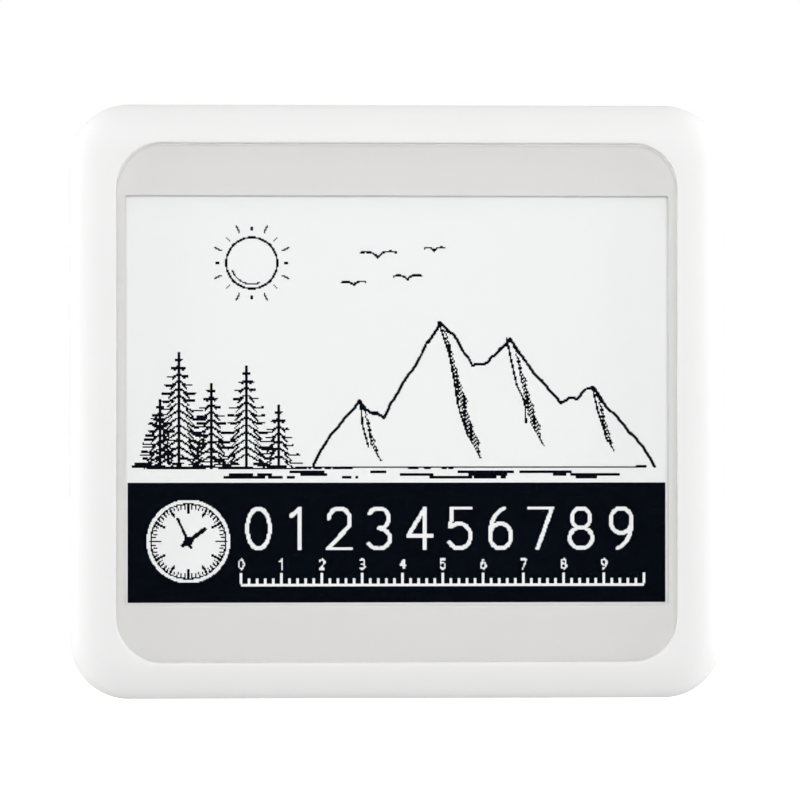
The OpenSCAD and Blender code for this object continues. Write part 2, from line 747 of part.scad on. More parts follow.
front_case();
window();
grey_mask();
window_tape();
protective_film();
ink_film();
edge_seal();
panel_glass();
driver_chip();
driver_coating();
panel_flex();
flex_stiffener();
panel_tape();
circuit_board();
antenna_coil();
flex_connector();
connector_contacts();
connector_latch();
nfc_chip();
microcontroller();
voltage_regulator();
boost_inductor();
boost_transistor();
booster_diodes();
bridge_diodes();
reservoir_capacitors();
ceramic_capacitors();
tuning_capacitors();
resistors();
board_screws();
rear_cover();
case_screws();
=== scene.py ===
import json
import math
import random

import bmesh
import bpy
import numpy as np
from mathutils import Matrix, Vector

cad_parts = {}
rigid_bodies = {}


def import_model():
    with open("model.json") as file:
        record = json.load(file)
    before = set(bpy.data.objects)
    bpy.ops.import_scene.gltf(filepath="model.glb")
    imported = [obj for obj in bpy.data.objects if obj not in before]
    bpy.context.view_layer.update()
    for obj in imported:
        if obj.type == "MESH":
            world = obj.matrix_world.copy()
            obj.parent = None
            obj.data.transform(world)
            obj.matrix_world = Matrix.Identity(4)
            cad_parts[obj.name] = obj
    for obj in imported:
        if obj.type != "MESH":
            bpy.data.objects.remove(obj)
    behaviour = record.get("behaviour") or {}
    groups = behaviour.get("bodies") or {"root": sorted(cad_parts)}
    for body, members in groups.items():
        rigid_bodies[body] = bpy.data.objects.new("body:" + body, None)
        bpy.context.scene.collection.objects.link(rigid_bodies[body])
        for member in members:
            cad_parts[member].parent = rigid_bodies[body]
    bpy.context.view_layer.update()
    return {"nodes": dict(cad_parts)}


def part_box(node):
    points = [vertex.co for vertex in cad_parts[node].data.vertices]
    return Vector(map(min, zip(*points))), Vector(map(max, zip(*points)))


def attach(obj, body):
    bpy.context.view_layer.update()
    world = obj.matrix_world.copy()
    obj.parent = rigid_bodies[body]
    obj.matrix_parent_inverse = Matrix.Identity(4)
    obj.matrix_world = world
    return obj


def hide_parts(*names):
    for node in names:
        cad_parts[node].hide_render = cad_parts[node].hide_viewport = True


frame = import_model()
nodes = frame["nodes"]
mm = 0.001
solidWeld = 0.0002
meshWeld = 0.0005
scene = bpy.context.scene
print("frame loaded:", len(nodes), "nodes")


# Places: x across the screen, up the screen, and out from the back face, all in millimetres
def place(x, up, out):
    return Vector((x * mm, -out * mm, up * mm))


def nodeSpan(name):
    low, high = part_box(name)
    return {
        "x": (low.x / mm, high.x / mm),
        "up": (low.z / mm, high.z / mm),
        "out": (-high.y / mm, -low.y / mm),
    }


span = {name: nodeSpan(name) for name in nodes}
caseSpan = span["front_case"]
coverSpan = span["rear_cover"]
windowSpan = span["window"]
inkSpan = span["ink_film"]
boardSpan = span["circuit_board"]
boardBack = boardSpan["out"][0]

# The panel, its pixels and its border of plain ink film
panel = {"pixelPitch": 0.212, "columns": 400, "rows": 300, "inkBorder": 1.0}
activeLeft = inkSpan["x"][0] + panel["inkBorder"]
activeTop = inkSpan["up"][1] - panel["inkBorder"]


# The separate solids of one node, each as its span
def solidsOf(name):
    shape = bmesh.new()
    shape.from_mesh(nodes[name].data)
    bmesh.ops.remove_doubles(shape, verts=shape.verts, dist=solidWeld * mm)
    left = set(shape.verts)
    spans = []
    while left:
        queue = [left.pop()]
        found = []
        while queue:
            vertex = queue.pop()
            found.append(vertex.co.copy())
            for edge in vertex.link_edges:
                other = edge.other_vert(vertex)
                if other in left:
                    left.remove(other)
                    queue.append(other)
        low = [min(v[i] for v in found) / mm for i in range(3)]
        high = [max(v[i] for v in found) / mm for i in range(3)]
        spans.append({"x": (low[0], high[0]), "up": (low[2], high[2]), "out": (-high[1], -low[1])})
    shape.free()
    return sorted(spans, key=lambda s: (s["x"][0], s["up"][0]))


def middle(pair):
    return (pair[0] + pair[1]) / 2


def spotsOf(name):
    return [(middle(s["x"]), middle(s["up"])) for s in solidsOf(name)]


def finishObject(name, mesh, body, materials, sharpAngle=35):
    mesh.name = name
    if materials:
        mesh.materials.clear()
        for material in materials:
            mesh.materials.append(material)
    for polygon in mesh.polygons:
        polygon.use_smooth = True
    mesh.set_sharp_from_angle(angle=math.radians(sharpAngle))
    obj = bpy.data.objects.new(name, mesh)
    scene.collection.objects.link(obj)
    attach(obj, body)
    return obj


def meshFrom(name, vertices, faces):
    mesh = bpy.data.meshes.new(name)
    mesh.from_pydata([tuple(v) for v in vertices], [], faces)
    mesh.validate()
    shape = bmesh.new()
    shape.from_mesh(mesh)
    bmesh.ops.remove_doubles(shape, verts=shape.verts, dist=meshWeld * mm)
    bmesh.ops.recalc_face_normals(shape, faces=shape.faces)
    shape.to_mesh(mesh)
    shape.free()
    return mesh


# A round-cornered outline, as columns that match from one outline to the next
def outline(halfWide, halfHigh, radius, centre=(0, 0), arcSteps=18, sideSteps=6):
    corners = []
    for sx, sy, start in ((1, 1, 0), (-1, 1, 90), (-1, -1, 180), (1, -1, 270)):
        middleX = sx * (halfWide - radius) + centre[0]
        middleUp = sy * (halfHigh - radius) + centre[1]
        arc = []
        for step in range(arcSteps + 1):
            angle = math.radians(start + 90 * step / arcSteps)
            arc.append((middleX + radius * math.cos(angle), middleUp + radius * math.sin(angle)))
        corners.append(arc)
    points = []
    for index, arc in enumerate(corners):
        points.extend(arc)
        following = corners[(index + 1) % 4][0]
        for step in range(1, sideSteps):
            share = step / sideSteps
            points.append(
                (arc[-1][0] + (following[0] - arc[-1][0]) * share,
                 arc[-1][1] + (following[1] - arc[-1][1]) * share)
            )
    return points


def flatRow(halfWide, halfHigh, radius, out, centre=(0, 0), **steps):
    return [(x, up, out) for x, up in outline(halfWide, halfHigh, radius, centre, **steps)]


# Rows of outlines joined by quads; the ends are joined to each other, or capped
def loft(name, rows, closed):
    vertices = []
    faces = []
    columns = len(rows[0])
    for row in rows:
        vertices.extend(place(x, up, out) for x, up, out in row)
    count = len(rows)
    for r in range(count if closed else count - 1):
        after = (r + 1) % count
        for c in range(columns):
            beside = (c + 1) % columns
            faces.append(
                (r * columns + c, r * columns + beside, after * columns + beside, after * columns + c)
            )
    if not closed:
        faces.append(tuple(range(columns)))
        faces.append(tuple((count - 1) * columns + c for c in range(columns)))
    return meshFrom(name, vertices, faces)


# A turned solid about an axis that points out from the back face: profile of (radius, out)
def turned(name, profile, centre=(0, 0), steps=32):
    vertices = []
    faces = []
    count = len(profile)
    for step in range(steps):
        angle = 2 * math.pi * step / steps
        for radius, out in profile:
            vertices.append(
                place(centre[0] + radius * math.cos(angle), centre[1] + radius * math.sin(angle), out)
            )
    for step in range(steps):
        after = (step + 1) % steps
        for p in range(count):
            beside = (p + 1) % count
            faces.append((step * count + p, after * count + p, after * count + beside, step * count + beside))
    return meshFrom(name, vertices, faces)


# A plain round rod between two heights
def rod(name, radius, low, high, centre=(0, 0), steps=32):
    return turned(name, [(0, low), (radius, low), (radius, high), (0, high)], centre, steps)


def block(name, low, high):
    xs, ups, outs = zip(low, high)
    corners = [place(x, up, out) for out in outs for up in ups for x in xs]
    faces = [(0, 1, 3, 2), (4, 6, 7, 5), (0, 4, 5, 1), (2, 3, 7, 6), (0, 2, 6, 4), (1, 5, 7, 3)]
    return meshFrom(name, corners, faces)


easeBend = 0.3


# Box with eased edges; draft narrows it towards its two ends along out, from a parting line in its middle
def easedBox(name, low, high, ease, draft=0.0):
    half = [(high[i] - low[i]) / 2 for i in range(2)]
    centre = ((high[0] + low[0]) / 2, (high[1] + low[1]) / 2)
    parting = low[2] + (high[2] - low[2]) / 2
    bend = ease * easeBend
    stations = [
        (low[2], draft + ease), (low[2] + bend, draft + bend), (low[2] + ease, draft),
        (parting, 0.0),
        (high[2] - ease, draft), (high[2] - bend, draft + bend), (high[2], draft + ease),
    ]
    rows = [
        flatRow(half[0] - inset, half[1] - inset, ease, out, centre, arcSteps=2, sideSteps=1)
        for out, inset in stations
    ]
    return loft(name, rows, False)


# Flat outline in (along, out), drawn out to a width across x
def profileBar(name, points, halfWidth):
    vertices = [place(side * halfWidth, along, out) for side in (-1, 1) for along, out in points]
    count = len(points)
    faces = [tuple(range(count)), tuple(count + i for i in reversed(range(count)))]
    for i in range(count):
        after = (i + 1) % count
        faces.append((i, after, count + after, count + i))
    return meshFrom(name, vertices, faces)


# Joins meshes into one, each with the material of its place in the list
def joinMeshes(name, meshes):
    shape = bmesh.new()
    for index, mesh in enumerate(meshes):
        before = len(shape.faces)
        shape.from_mesh(mesh)
        shape.faces.ensure_lookup_table()
        for face in shape.faces[before:]:
            face.material_index = index
    joined = bpy.data.meshes.new(name)
    shape.to_mesh(joined)
    shape.free()
    return joined


# Joins or cuts meshes into one closed mesh
def combine(name, mesh, others, operation):
    base = bpy.data.objects.new(name, mesh)
    scene.collection.objects.link(base)
    tool = bpy.data.collections.new(name + "Tools")
    scene.collection.children.link(tool)
    for index, other in enumerate(others):
        tool.objects.link(bpy.data.objects.new(name + "Tool%d" % index, other))
    modifier = base.modifiers.new("combine", "BOOLEAN")
    modifier.operand_type = "COLLECTION"
    modifier.collection = tool
    modifier.operation = operation
    modifier.solver = "EXACT"
    graph = bpy.context.evaluated_depsgraph_get()
    result = bpy.data.meshes.new_from_object(base.evaluated_get(graph))
    for piece in list(tool.objects):
        bpy.data.objects.remove(piece)
    bpy.data.collections.remove(tool)
    bpy.data.objects.remove(base)
    return result


# Sockets on the outside of a node group, by name and kind
def addSockets(group, way, kinds):
    for name, kind in kinds.items():
        group.interface.new_socket(name=name, in_out=way, socket_type="NodeSocket" + kind)


def setInputs(node, values):
    for name, value in values.items():
        node.inputs[name].default_value = value


def mathNode(tree, operation):
    node = tree.nodes.new("ShaderNodeMath")
    node.operation = operation
    return node


# Links in a node tree, each from a node's output to another node's input
def wire(tree, *links):
    for source, output, target, entry in links:
        tree.links.new(source.outputs[output], target.inputs[entry])


# Geometry Nodes: one small piece at each point, scaled and turned by the points' attributes
def scatterTree():
    tree = bpy.data.node_groups.new("pieceAtPoints", "GeometryNodeTree")
    addSockets(tree, "INPUT", {"Points": "Geometry", "Piece": "Object", "Finish": "Material"})
    addSockets(tree, "OUTPUT", {"Geometry": "Geometry"})
    new = tree.nodes.new
    source = new("NodeGroupInput")
    result = new("NodeGroupOutput")
    info = new("GeometryNodeObjectInfo")
    spread = new("GeometryNodeInstanceOnPoints")
    realize = new("GeometryNodeRealizeInstances")
    finish = new("GeometryNodeSetMaterial")
    for attribute, entry in (("pieceSize", "Scale"), ("pieceTurn", "Rotation")):
        stored = new("GeometryNodeInputNamedAttribute")
        stored.data_type = "FLOAT_VECTOR"
        setInputs(stored, {"Name": attribute})
        wire(tree, (stored, "Attribute", spread, entry))
    wire(tree,
         (source, "Points", spread, "Points"), (source, "Piece", info, "Object"),
         (info, "Geometry", spread, "Instance"), (spread, "Instances", realize, "Geometry"),
         (realize, "Geometry", finish, "Geometry"), (source, "Finish", finish, "Material"),
         (finish, "Geometry", result, "Geometry"))
    return tree


# Geometry Nodes: a flat track along a path, with rounded corners
def trackTree():
    tree = bpy.data.node_groups.new("trackAlongPath", "GeometryNodeTree")
    addSockets(tree, "INPUT", {
        "Path": "Geometry", "Track Width": "Float", "Track Height": "Float", "Corner Radius": "Float",
        "Corner Steps": "Int", "Finish": "Material",
    })
    addSockets(tree, "OUTPUT", {"Geometry": "Geometry"})
    new = tree.nodes.new
    source = new("NodeGroupInput")
    result = new("NodeGroupOutput")
    curve = new("GeometryNodeMeshToCurve")
    fillet = new("GeometryNodeFilletCurve")
    fillet.mode = "POLY"
    setInputs(fillet, {"Limit Radius": True})
    normals = new("GeometryNodeSetCurveNormal")
    normals.mode = "FREE"
    setInputs(normals, {"Normal": (0, 1, 0)})
    profile = new("GeometryNodeCurvePrimitiveQuadrilateral")
    sweep = new("GeometryNodeCurveToMesh")
    setInputs(sweep, {"Fill Caps": True})
    finish = new("GeometryNodeSetMaterial")
    wire(tree,
         (source, "Path", curve, "Mesh"), (curve, "Curve", fillet, "Curve"),
         (source, "Corner Radius", fillet, "Radius"), (source, "Corner Steps", fillet, "Count"),
         (fillet, "Curve", normals, "Curve"), (source, "Track Height", profile, "Width"),
         (source, "Track Width", profile, "Height"), (normals, "Curve", sweep, "Curve"),
         (profile, "Curve", sweep, "Profile Curve"), (sweep, "Mesh", finish, "Geometry"),
         (source, "Finish", finish, "Material"), (finish, "Geometry", result, "Geometry"))
    return tree


scatter = scatterTree()
trackSweep = trackTree()


def socketOf(tree, name):
    return next(s.identifier for s in tree.interface.items_tree if s.name == name and s.in_out == "INPUT")


def evaluateNodes(name, base, tree, values):
    holder = bpy.data.objects.new(name + "Holder", base)
    scene.collection.objects.link(holder)
    modifier = holder.modifiers.new(name, "NODES")
    modifier.node_group = tree
    for label, value in values.items():
        modifier[socketOf(tree, label)] = value
    graph = bpy.context.evaluated_depsgraph_get()
    mesh = bpy.data.meshes.new_from_object(holder.evaluated_get(graph))
    holder.modifiers.clear()
    bpy.data.objects.remove(holder)
    return mesh


def repeatPiece(name, pieceMesh, points, material, sizes=None, turns=None):
    base = bpy.data.meshes.new(name + "Points")
    base.from_pydata([tuple(p) for p in points], [], [])
    size = base.attributes.new("pieceSize", "FLOAT_VECTOR", "POINT")
    turn = base.attributes.new("pieceTurn", "FLOAT_VECTOR", "POINT")
    for index in range(len(points)):
        size.data[index].vector = sizes[index] if sizes else (1, 1, 1)
        turn.data[index].vector = turns[index] if turns else (0, 0, 0)
    piece = bpy.data.objects.new(name + "Piece", pieceMesh)
    scene.collection.objects.link(piece)
    mesh = evaluateNodes(name, base, scatter, {"Piece": piece, "Finish": material})
    bpy.data.objects.remove(piece)
    return mesh


# Tracks along paths of (x, up), at one height
def tracks(name, paths, out, width, height, radius, steps, material):
    vertices = []
    edges = []
    for path in paths:
        start = len(vertices)
        vertices.extend(tuple(place(x, up, out)) for x, up in path)
        edges.extend((start + i, start + i + 1) for i in range(len(path) - 1))
    base = bpy.data.meshes.new(name + "Paths")
    base.from_pydata(vertices, edges, [])
    return evaluateNodes(name, base, trackSweep, {
        "Track Width": width * mm,
        "Track Height": height * mm,
        "Corner Radius": radius * mm,
        "Corner Steps": steps,
        "Finish": material,
    })


# Shader group: fine grain that moulded and coated surfaces share
def grainGroup():
    group = bpy.data.node_groups.new("surfaceGrain", "ShaderNodeTree")
    addSockets(group, "INPUT", {"Grain Size": "Float", "Cloud Size": "Float"})
    addSockets(group, "OUTPUT", {"Grain": "Float", "Cloud": "Float"})
    new = group.nodes.new
    source = new("NodeGroupInput")
    result = new("NodeGroupOutput")
    where = new("ShaderNodeTexCoord")
    for outName, detail in (("Grain", 2.0), ("Cloud", 3.0)):
        noise = new("ShaderNodeTexNoise")
        setInputs(noise, {"Detail": detail})
        wire(group,
             (where, "Object", noise, "Vector"), (source, outName + " Size", noise, "Scale"),
             (noise, "Fac", result, outName))
    return group


# Shader group: a mask of stripes across one axis, 1 on the stripes
def stripeGroup():
    group = bpy.data.node_groups.new("stripesAcross", "ShaderNodeTree")
    addSockets(group, "INPUT", {"Stripes Per Metre": "Float", "Stripe Share": "Float"})
    addSockets(group, "OUTPUT", {"Mask": "Float"})
    new = group.nodes.new
    source = new("NodeGroupInput")
    result = new("NodeGroupOutput")
    where = new("ShaderNodeTexCoord")
    apart = new("ShaderNodeSeparateXYZ")
    scale = mathNode(group, "MULTIPLY")
    part = mathNode(group, "FRACT")
    inside = mathNode(group, "LESS_THAN")
    wire(group,
         (where, "Object", apart, 0), (apart, "X", scale, 0), (source, "Stripes Per Metre", scale, 1),
         (scale, 0, part, 0), (part, 0, inside, 0), (source, "Stripe Share", inside, 1),
         (inside, 0, result, "Mask"))
    return group


# Shader group: 1 on faces that look along the object's Y axis, 0 on its edges
def facingGroup():
    group = bpy.data.node_groups.new("facesAlongY", "ShaderNodeTree")
    addSockets(group, "OUTPUT", {"Mask": "Float"})
    result = group.nodes.new("NodeGroupOutput")
    where = group.nodes.new("ShaderNodeTexCoord")
    apart = group.nodes.new("ShaderNodeSeparateXYZ")
    size = mathNode(group, "ABSOLUTE")
    inside = mathNode(group, "GREATER_THAN")
    leastFacing = 0.7
    setInputs(inside, {1: leastFacing})
    wire(group,
         (where, "Normal", apart, 0), (apart, "Y", size, 0), (size, 0, inside, 0),
         (inside, 0, result, "Mask"))
    return group


surfaceGrain = grainGroup()
stripesAcross = stripeGroup()
facesAlongY = facingGroup()


# Sockets of a mix node set to colours: its two colours and its result
firstTone = 6
secondTone = 7
mixedTone = 2
darkerShare = 0.97


# A moulded, printed or coated surface: two close tones, grain in the bump, clouds in the roughness
def moulded(name, colour, second=None, roughness=0.4, spread=0.08, grainSize=9000, cloudSize=120,
            bump=0.05, bumpDepth=0.02, specular=0.5, metallic=0.0, coat=0.0):
    material = bpy.data.materials.new(name)
    material.use_nodes = True
    tree = material.node_tree
    shader = tree.nodes["Principled BSDF"]
    setInputs(shader, {"Specular IOR Level": specular, "Metallic": metallic, "Coat Weight": coat})
    grain = tree.nodes.new("ShaderNodeGroup")
    grain.node_tree = surfaceGrain
    setInputs(grain, {"Grain Size": grainSize, "Cloud Size": cloudSize})
    tones = tree.nodes.new("ShaderNodeMix")
    tones.name = "tones"
    tones.data_type = "RGBA"
    other = second or [c * darkerShare for c in colour]
    setInputs(tones, {firstTone: (*colour, 1), secondTone: (*other, 1)})
    rough = tree.nodes.new("ShaderNodeMapRange")
    setInputs(rough, {"To Min": roughness - spread, "To Max": roughness + spread})
    relief = tree.nodes.new("ShaderNodeBump")
    setInputs(relief, {"Strength": bump, "Distance": bumpDepth * mm})
    wire(tree,
         (grain, "Cloud", tones, 0), (tones, mixedTone, shader, "Base Color"),
         (grain, "Cloud", rough, "Value"), (rough, "Result", shader, "Roughness"),
         (grain, "Grain", relief, "Height"), (relief, "Normal", shader, "Normal"))
    return material


# Lays a second colour over a moulded surface where a mask group says so
def overlay(material, group, colour, values=None, onMask=True):
    tree = material.node_tree
    mask = tree.nodes.new("ShaderNodeGroup")
    mask.node_tree = group
    setInputs(mask, values or {})
    over = tree.nodes.new("ShaderNodeMix")
    over.data_type = "RGBA"
    base = firstTone if onMask else secondTone
    extra = secondTone if onMask else firstTone
    setInputs(over, {extra: (*colour, 1)})
    wire(tree,
         (tree.nodes["tones"], mixedTone, over, base), (mask, "Mask", over, 0),
         (over, mixedTone, tree.nodes["Principled BSDF"], "Base Color"))


# Clear sheets let the lamps' light through to what lies behind them
def clearSheet(name, tint, roughness, specular, ior):
    material = bpy.data.materials.new(name)
    material.use_nodes = True
    tree = material.node_tree
    shader = tree.nodes["Principled BSDF"]
    setInputs(shader, {
        "Base Color": (*tint, 1), "Roughness": roughness, "Specular IOR Level": specular, "IOR": ior,
        "Transmission Weight": 1.0,
    })
    path = tree.nodes.new("ShaderNodeLightPath")
    through = tree.nodes.new("ShaderNodeBsdfTransparent")
    setInputs(through, {"Color": (*tint, 1)})
    mix = tree.nodes.new("ShaderNodeMixShader")
    both = mathNode(tree, "MAXIMUM")
    wire(tree,
         (path, "Is Shadow Ray", both, 0), (path, "Is Diffuse Ray", both, 1), (both, 0, mix, 0),
         (shader, 0, mix, 1), (through, 0, mix, 2), (mix, 0, tree.nodes["Material Output"], "Surface"))
    return material


caseWhite = moulded("caseWhite", (0.75, 0.75, 0.747), (0.738, 0.739, 0.736), roughness=0.46, spread=0.04,
                    grainSize=5200, cloudSize=60, bump=0.06, bumpDepth=0.012, specular=0.32)
maskInk = moulded("maskInk", (0.692, 0.684, 0.670), (0.680, 0.673, 0.660), roughness=0.62, spread=0.06,
                  grainSize=9000, cloudSize=150, bump=0.03, specular=0.25)
tapeWhite = moulded("tapeWhite", (0.74, 0.73, 0.69), roughness=0.7, specular=0.2)
tapeYellow = moulded("tapeYellow", (0.76, 0.68, 0.46), roughness=0.6, specular=0.3)
paperWhite = moulded("paperWhite", (0.875, 0.877, 0.875), (0.863, 0.867, 0.867), roughness=0.8, spread=0.08,
                     grainSize=14000, cloudSize=7000, bump=0.1, bumpDepth=0.006, specular=0.15)
inkBlack = moulded("inkBlack", (0.0006, 0.0018, 0.0048), (0.0012, 0.0028, 0.0062), roughness=0.85,
                   spread=0.06, grainSize=14000, cloudSize=7000, bump=0.08, bumpDepth=0.006, specular=0.0)
windowClear = clearSheet("windowClear", (0.995, 0.996, 0.996), roughness=0.015, specular=0.22, ior=1.49)
filmClear = clearSheet("filmClear", (0.995, 0.996, 0.995), roughness=0.03, specular=0.05, ior=1.15)
sealBead = moulded("sealBead", (0.56, 0.56, 0.54), roughness=0.5)
glassDark = moulded("glassDark", (0.16, 0.19, 0.19), roughness=0.08, spread=0.03, coat=0.6, bump=0.01)
siliconDark = moulded("siliconDark", (0.05, 0.052, 0.06), roughness=0.16, metallic=0.4, bump=0.01)
sealantDark = moulded("sealantDark", (0.05, 0.055, 0.06), roughness=0.45)
flexAmber = moulded("flexAmber", (0.46, 0.19, 0.035), (0.40, 0.16, 0.03), roughness=0.24, coat=0.4)
overlay(flexAmber, stripesAcross, (0.62, 0.30, 0.07), {"Stripes Per Metre": 2000, "Stripe Share": 0.55})
stiffenerBlue = moulded("stiffenerBlue", (0.03, 0.13, 0.38), roughness=0.4)
boardGreen = moulded("boardGreen", (0.012, 0.135, 0.055), (0.010, 0.115, 0.048), roughness=0.22, spread=0.06,
                     grainSize=3000, cloudSize=260, bump=0.12, bumpDepth=0.01, coat=0.5)
overlay(boardGreen, facesAlongY, (0.42, 0.36, 0.17), onMask=False)
trackGreen = moulded("trackGreen", (0.035, 0.24, 0.085), (0.03, 0.21, 0.075), roughness=0.2, coat=0.5)
coilCopper = moulded("coilCopper", (0.72, 0.33, 0.14), (0.62, 0.27, 0.11), roughness=0.26, spread=0.08,
                     cloudSize=400, metallic=0.9, coat=0.4)
silkWhite = moulded("silkWhite", (0.72, 0.72, 0.70), roughness=0.6, specular=0.2)
solderTin = moulded("solderTin", (0.66, 0.67, 0.68), (0.58, 0.59, 0.60), roughness=0.28, spread=0.12,
                    cloudSize=900, metallic=1.0)
padGold = moulded("padGold", (0.80, 0.56, 0.22), roughness=0.3, metallic=1.0)
ivoryResin = moulded("ivoryResin", (0.72, 0.66, 0.54), (0.69, 0.63, 0.51), roughness=0.5)
latchBlack = moulded("latchBlack", (0.018, 0.018, 0.019), (0.03, 0.03, 0.031), roughness=0.42)
packageBlack = moulded("packageBlack", (0.017, 0.017, 0.019), (0.028, 0.028, 0.03), roughness=0.55,
                       grainSize=16000, bump=0.3, bumpDepth=0.01)
markGrey = moulded("markGrey", (0.30, 0.30, 0.30), roughness=0.7)
ferriteGrey = moulded("ferriteGrey", (0.075, 0.075, 0.08), (0.055, 0.055, 0.06), roughness=0.5, bump=0.25)
tantalumYellow = moulded("tantalumYellow", (0.66, 0.34, 0.06), (0.60, 0.30, 0.05), roughness=0.42)
barBrown = moulded("barBrown", (0.16, 0.06, 0.025), roughness=0.5)
ceramicTan = moulded("ceramicTan", (0.36, 0.22, 0.11), (0.31, 0.19, 0.09), roughness=0.4, cloudSize=800)
resistorBlack = moulded("resistorBlack", (0.02, 0.02, 0.024), roughness=0.25, coat=0.3)
aluminaWhite = moulded("aluminaWhite", (0.66, 0.65, 0.62), roughness=0.5)
zincSteel = moulded("zincSteel", (0.58, 0.585, 0.60), (0.50, 0.505, 0.52), roughness=0.25, spread=0.08,
                    cloudSize=1500, metallic=1.0)
print("materials ready")

# Front half of the case
caseShape = {
    "cornerRadius": 9.3,
    "shoulderWide": 6.2,
    "shoulderDrop": 3.2,
    "shoulderSteps": 26,
    "wallRows": (0.35, 0.7),
    "wall": 1.6,
    "edgeCut": 0.15,
    "lipHigh": 1.0,
    "seamGap": 0.2,
    "openingRadius": 7.0,
    "windowGap": 0.05,
    "openingRound": 0.32,
    "openingSteps": 5,
    "ledgeThick": 0.5,
    "apertureMargin": 0.55,
    "apertureRadius": 0.4,
    "bossRadius": 2.1,
    "bossPilot": 1.04,
    "standoffRadius": 1.7,
    "standoffPilot": 0.84,
    "pilotExtra": 0.3,
    "pilotEase": 0.15,
    "rootSink": 0.1,
    "ribThick": 0.8,
    "ribLong": 5.0,
    "ribGap": 0.25,
    "sideRibShare": 0.3,
    "endRibShare": 0.33,
}
ceilingOut = span["protective_film"]["out"][1]
rootOut = ceilingOut + caseShape["rootSink"]
glassSpan = span["panel_glass"]
caseScrewSpots = spotsOf("case_screws")
boardScrewSpots = spotsOf("board_screws")


def distanceIn(x, up, halfWide, halfHigh, radius):
    dx = abs(x) - (halfWide - radius)
    dy = abs(up) - (halfHigh - radius)
    outside = math.hypot(max(dx, 0), max(dy, 0)) + min(max(dx, dy), 0)
    return radius - outside


def shoulderHeight(inset):
    s = caseShape
    share = 1 - min(max(inset, 0) / s["shoulderWide"], 1)
    return caseSpan["out"][1] - s["shoulderDrop"] * (1 - math.sqrt(max(1 - share * share, 0)))


def frontShell():
    s = caseShape
    halfWide = caseSpan["x"][1]
    halfHigh = caseSpan["up"][1]
    seam = coverSpan["out"][1] - s["lipHigh"] + s["seamGap"]
    openWide = windowSpan["x"][1] + s["windowGap"]
    openHigh = (windowSpan["up"][1] - windowSpan["up"][0]) / 2 + s["windowGap"]
    openCentre = (0, middle(windowSpan["up"]))
    radius = s["cornerRadius"]
    cut = s["edgeCut"]
    rim = s["openingRound"]
    rows = [
        flatRow(halfWide - cut, halfHigh - cut, radius - cut, seam),
        flatRow(halfWide, halfHigh, radius, seam + cut),
    ]
    shoulderFoot = caseSpan["out"][1] - s["shoulderDrop"]
    for share in s["wallRows"]:
        rows.append(flatRow(halfWide, halfHigh, radius, seam + cut + (shoulderFoot - seam - cut) * share))
    outer = outline(halfWide, halfHigh, radius)
    inner = outline(openWide + rim, openHigh + rim, s["openingRadius"] + rim, openCentre)
    wide = halfWide - openWide - rim
    for step in range(s["shoulderSteps"] + 1):
        inset = s["shoulderWide"] * (1 - math.cos(math.pi / 2 * step / s["shoulderSteps"]))
        share = inset / wide
        row = []
        for (x0, y0), (x1, y1) in zip(outer, inner):
            x = x0 + (x1 - x0) * share
            up = y0 + (y1 - y0) * share
            row.append((x, up, shoulderHeight(distanceIn(x, up, halfWide, halfHigh, radius))))
        rows.append(row)
    crest = [shoulderHeight(distanceIn(x, up, halfWide, halfHigh, radius)) for x, up in inner]
    for step in range(s["openingSteps"] + 1):
        angle = math.pi / 2 * step / s["openingSteps"]
        grow = rim * (1 - math.sin(angle))
        drop = rim * (1 - math.cos(angle))
        ring = outline(openWide + grow, openHigh + grow, s["openingRadius"] + grow, openCentre)
        rows.append([(x, up, out - drop) for (x, up), out in zip(ring, crest)])
    ledgeOut = ceilingOut + s["ledgeThick"]
    rows.append(flatRow(openWide, openHigh, s["openingRadius"], ledgeOut, openCentre))
    apertureWide = -activeLeft + s["apertureMargin"]
    apertureHigh = panel["rows"] * panel["pixelPitch"] / 2 + s["apertureMargin"]
    centre = (0, middle(inkSpan["up"]))
    cavity = (halfWide - s["wall"], halfHigh - s["wall"], radius - s["wall"])
    rows += [
        flatRow(apertureWide, apertureHigh, s["apertureRadius"], ledgeOut, centre),
        flatRow(apertureWide, apertureHigh, s["apertureRadius"], ceilingOut, centre),
        flatRow(*cavity, ceilingOut),
        flatRow(*cavity, seam),
    ]
    return loft("frontShell", rows, True)


# Post with a blind pilot hole, from its foot up into the case front
def pilotPost(name, spot, radius, pilot, foot, holeEnd):
    ease = caseShape["pilotEase"]
    profile = [
        (0, rootOut), (radius, rootOut), (radius, foot + ease), (radius - ease, foot),
        (pilot + ease, foot), (pilot, foot + ease), (pilot, holeEnd), (0, holeEnd),
    ]
    return turned(name, profile, spot)


def panelRibs():
    s = caseShape
    low = glassSpan["out"][0]
    glassHigh = glassSpan["up"][1] - glassSpan["up"][0]
    thick = s["ribThick"] / 2
    long = s["ribLong"] / 2
    ribs = []
    for sx in (-1, 1):
        x = sx * (glassSpan["x"][1] + s["ribGap"] + thick)
        for sy in (-1, 1):
            up = middle(glassSpan["up"]) + sy * s["sideRibShare"] * glassHigh
            ribs.append((x, up, thick, long))
        x = sx * s["endRibShare"] * 2 * glassSpan["x"][1]
        for up in (glassSpan["up"][0] - s["ribGap"] - thick, glassSpan["up"][1] + s["ribGap"] + thick):
            ribs.append((x, up, long, thick))
    return [
        block("rib%d" % i, (x - wide, up - tall, low), (x + wide, up + tall, rootOut))
        for i, (x, up, wide, tall) in enumerate(ribs)
    ]


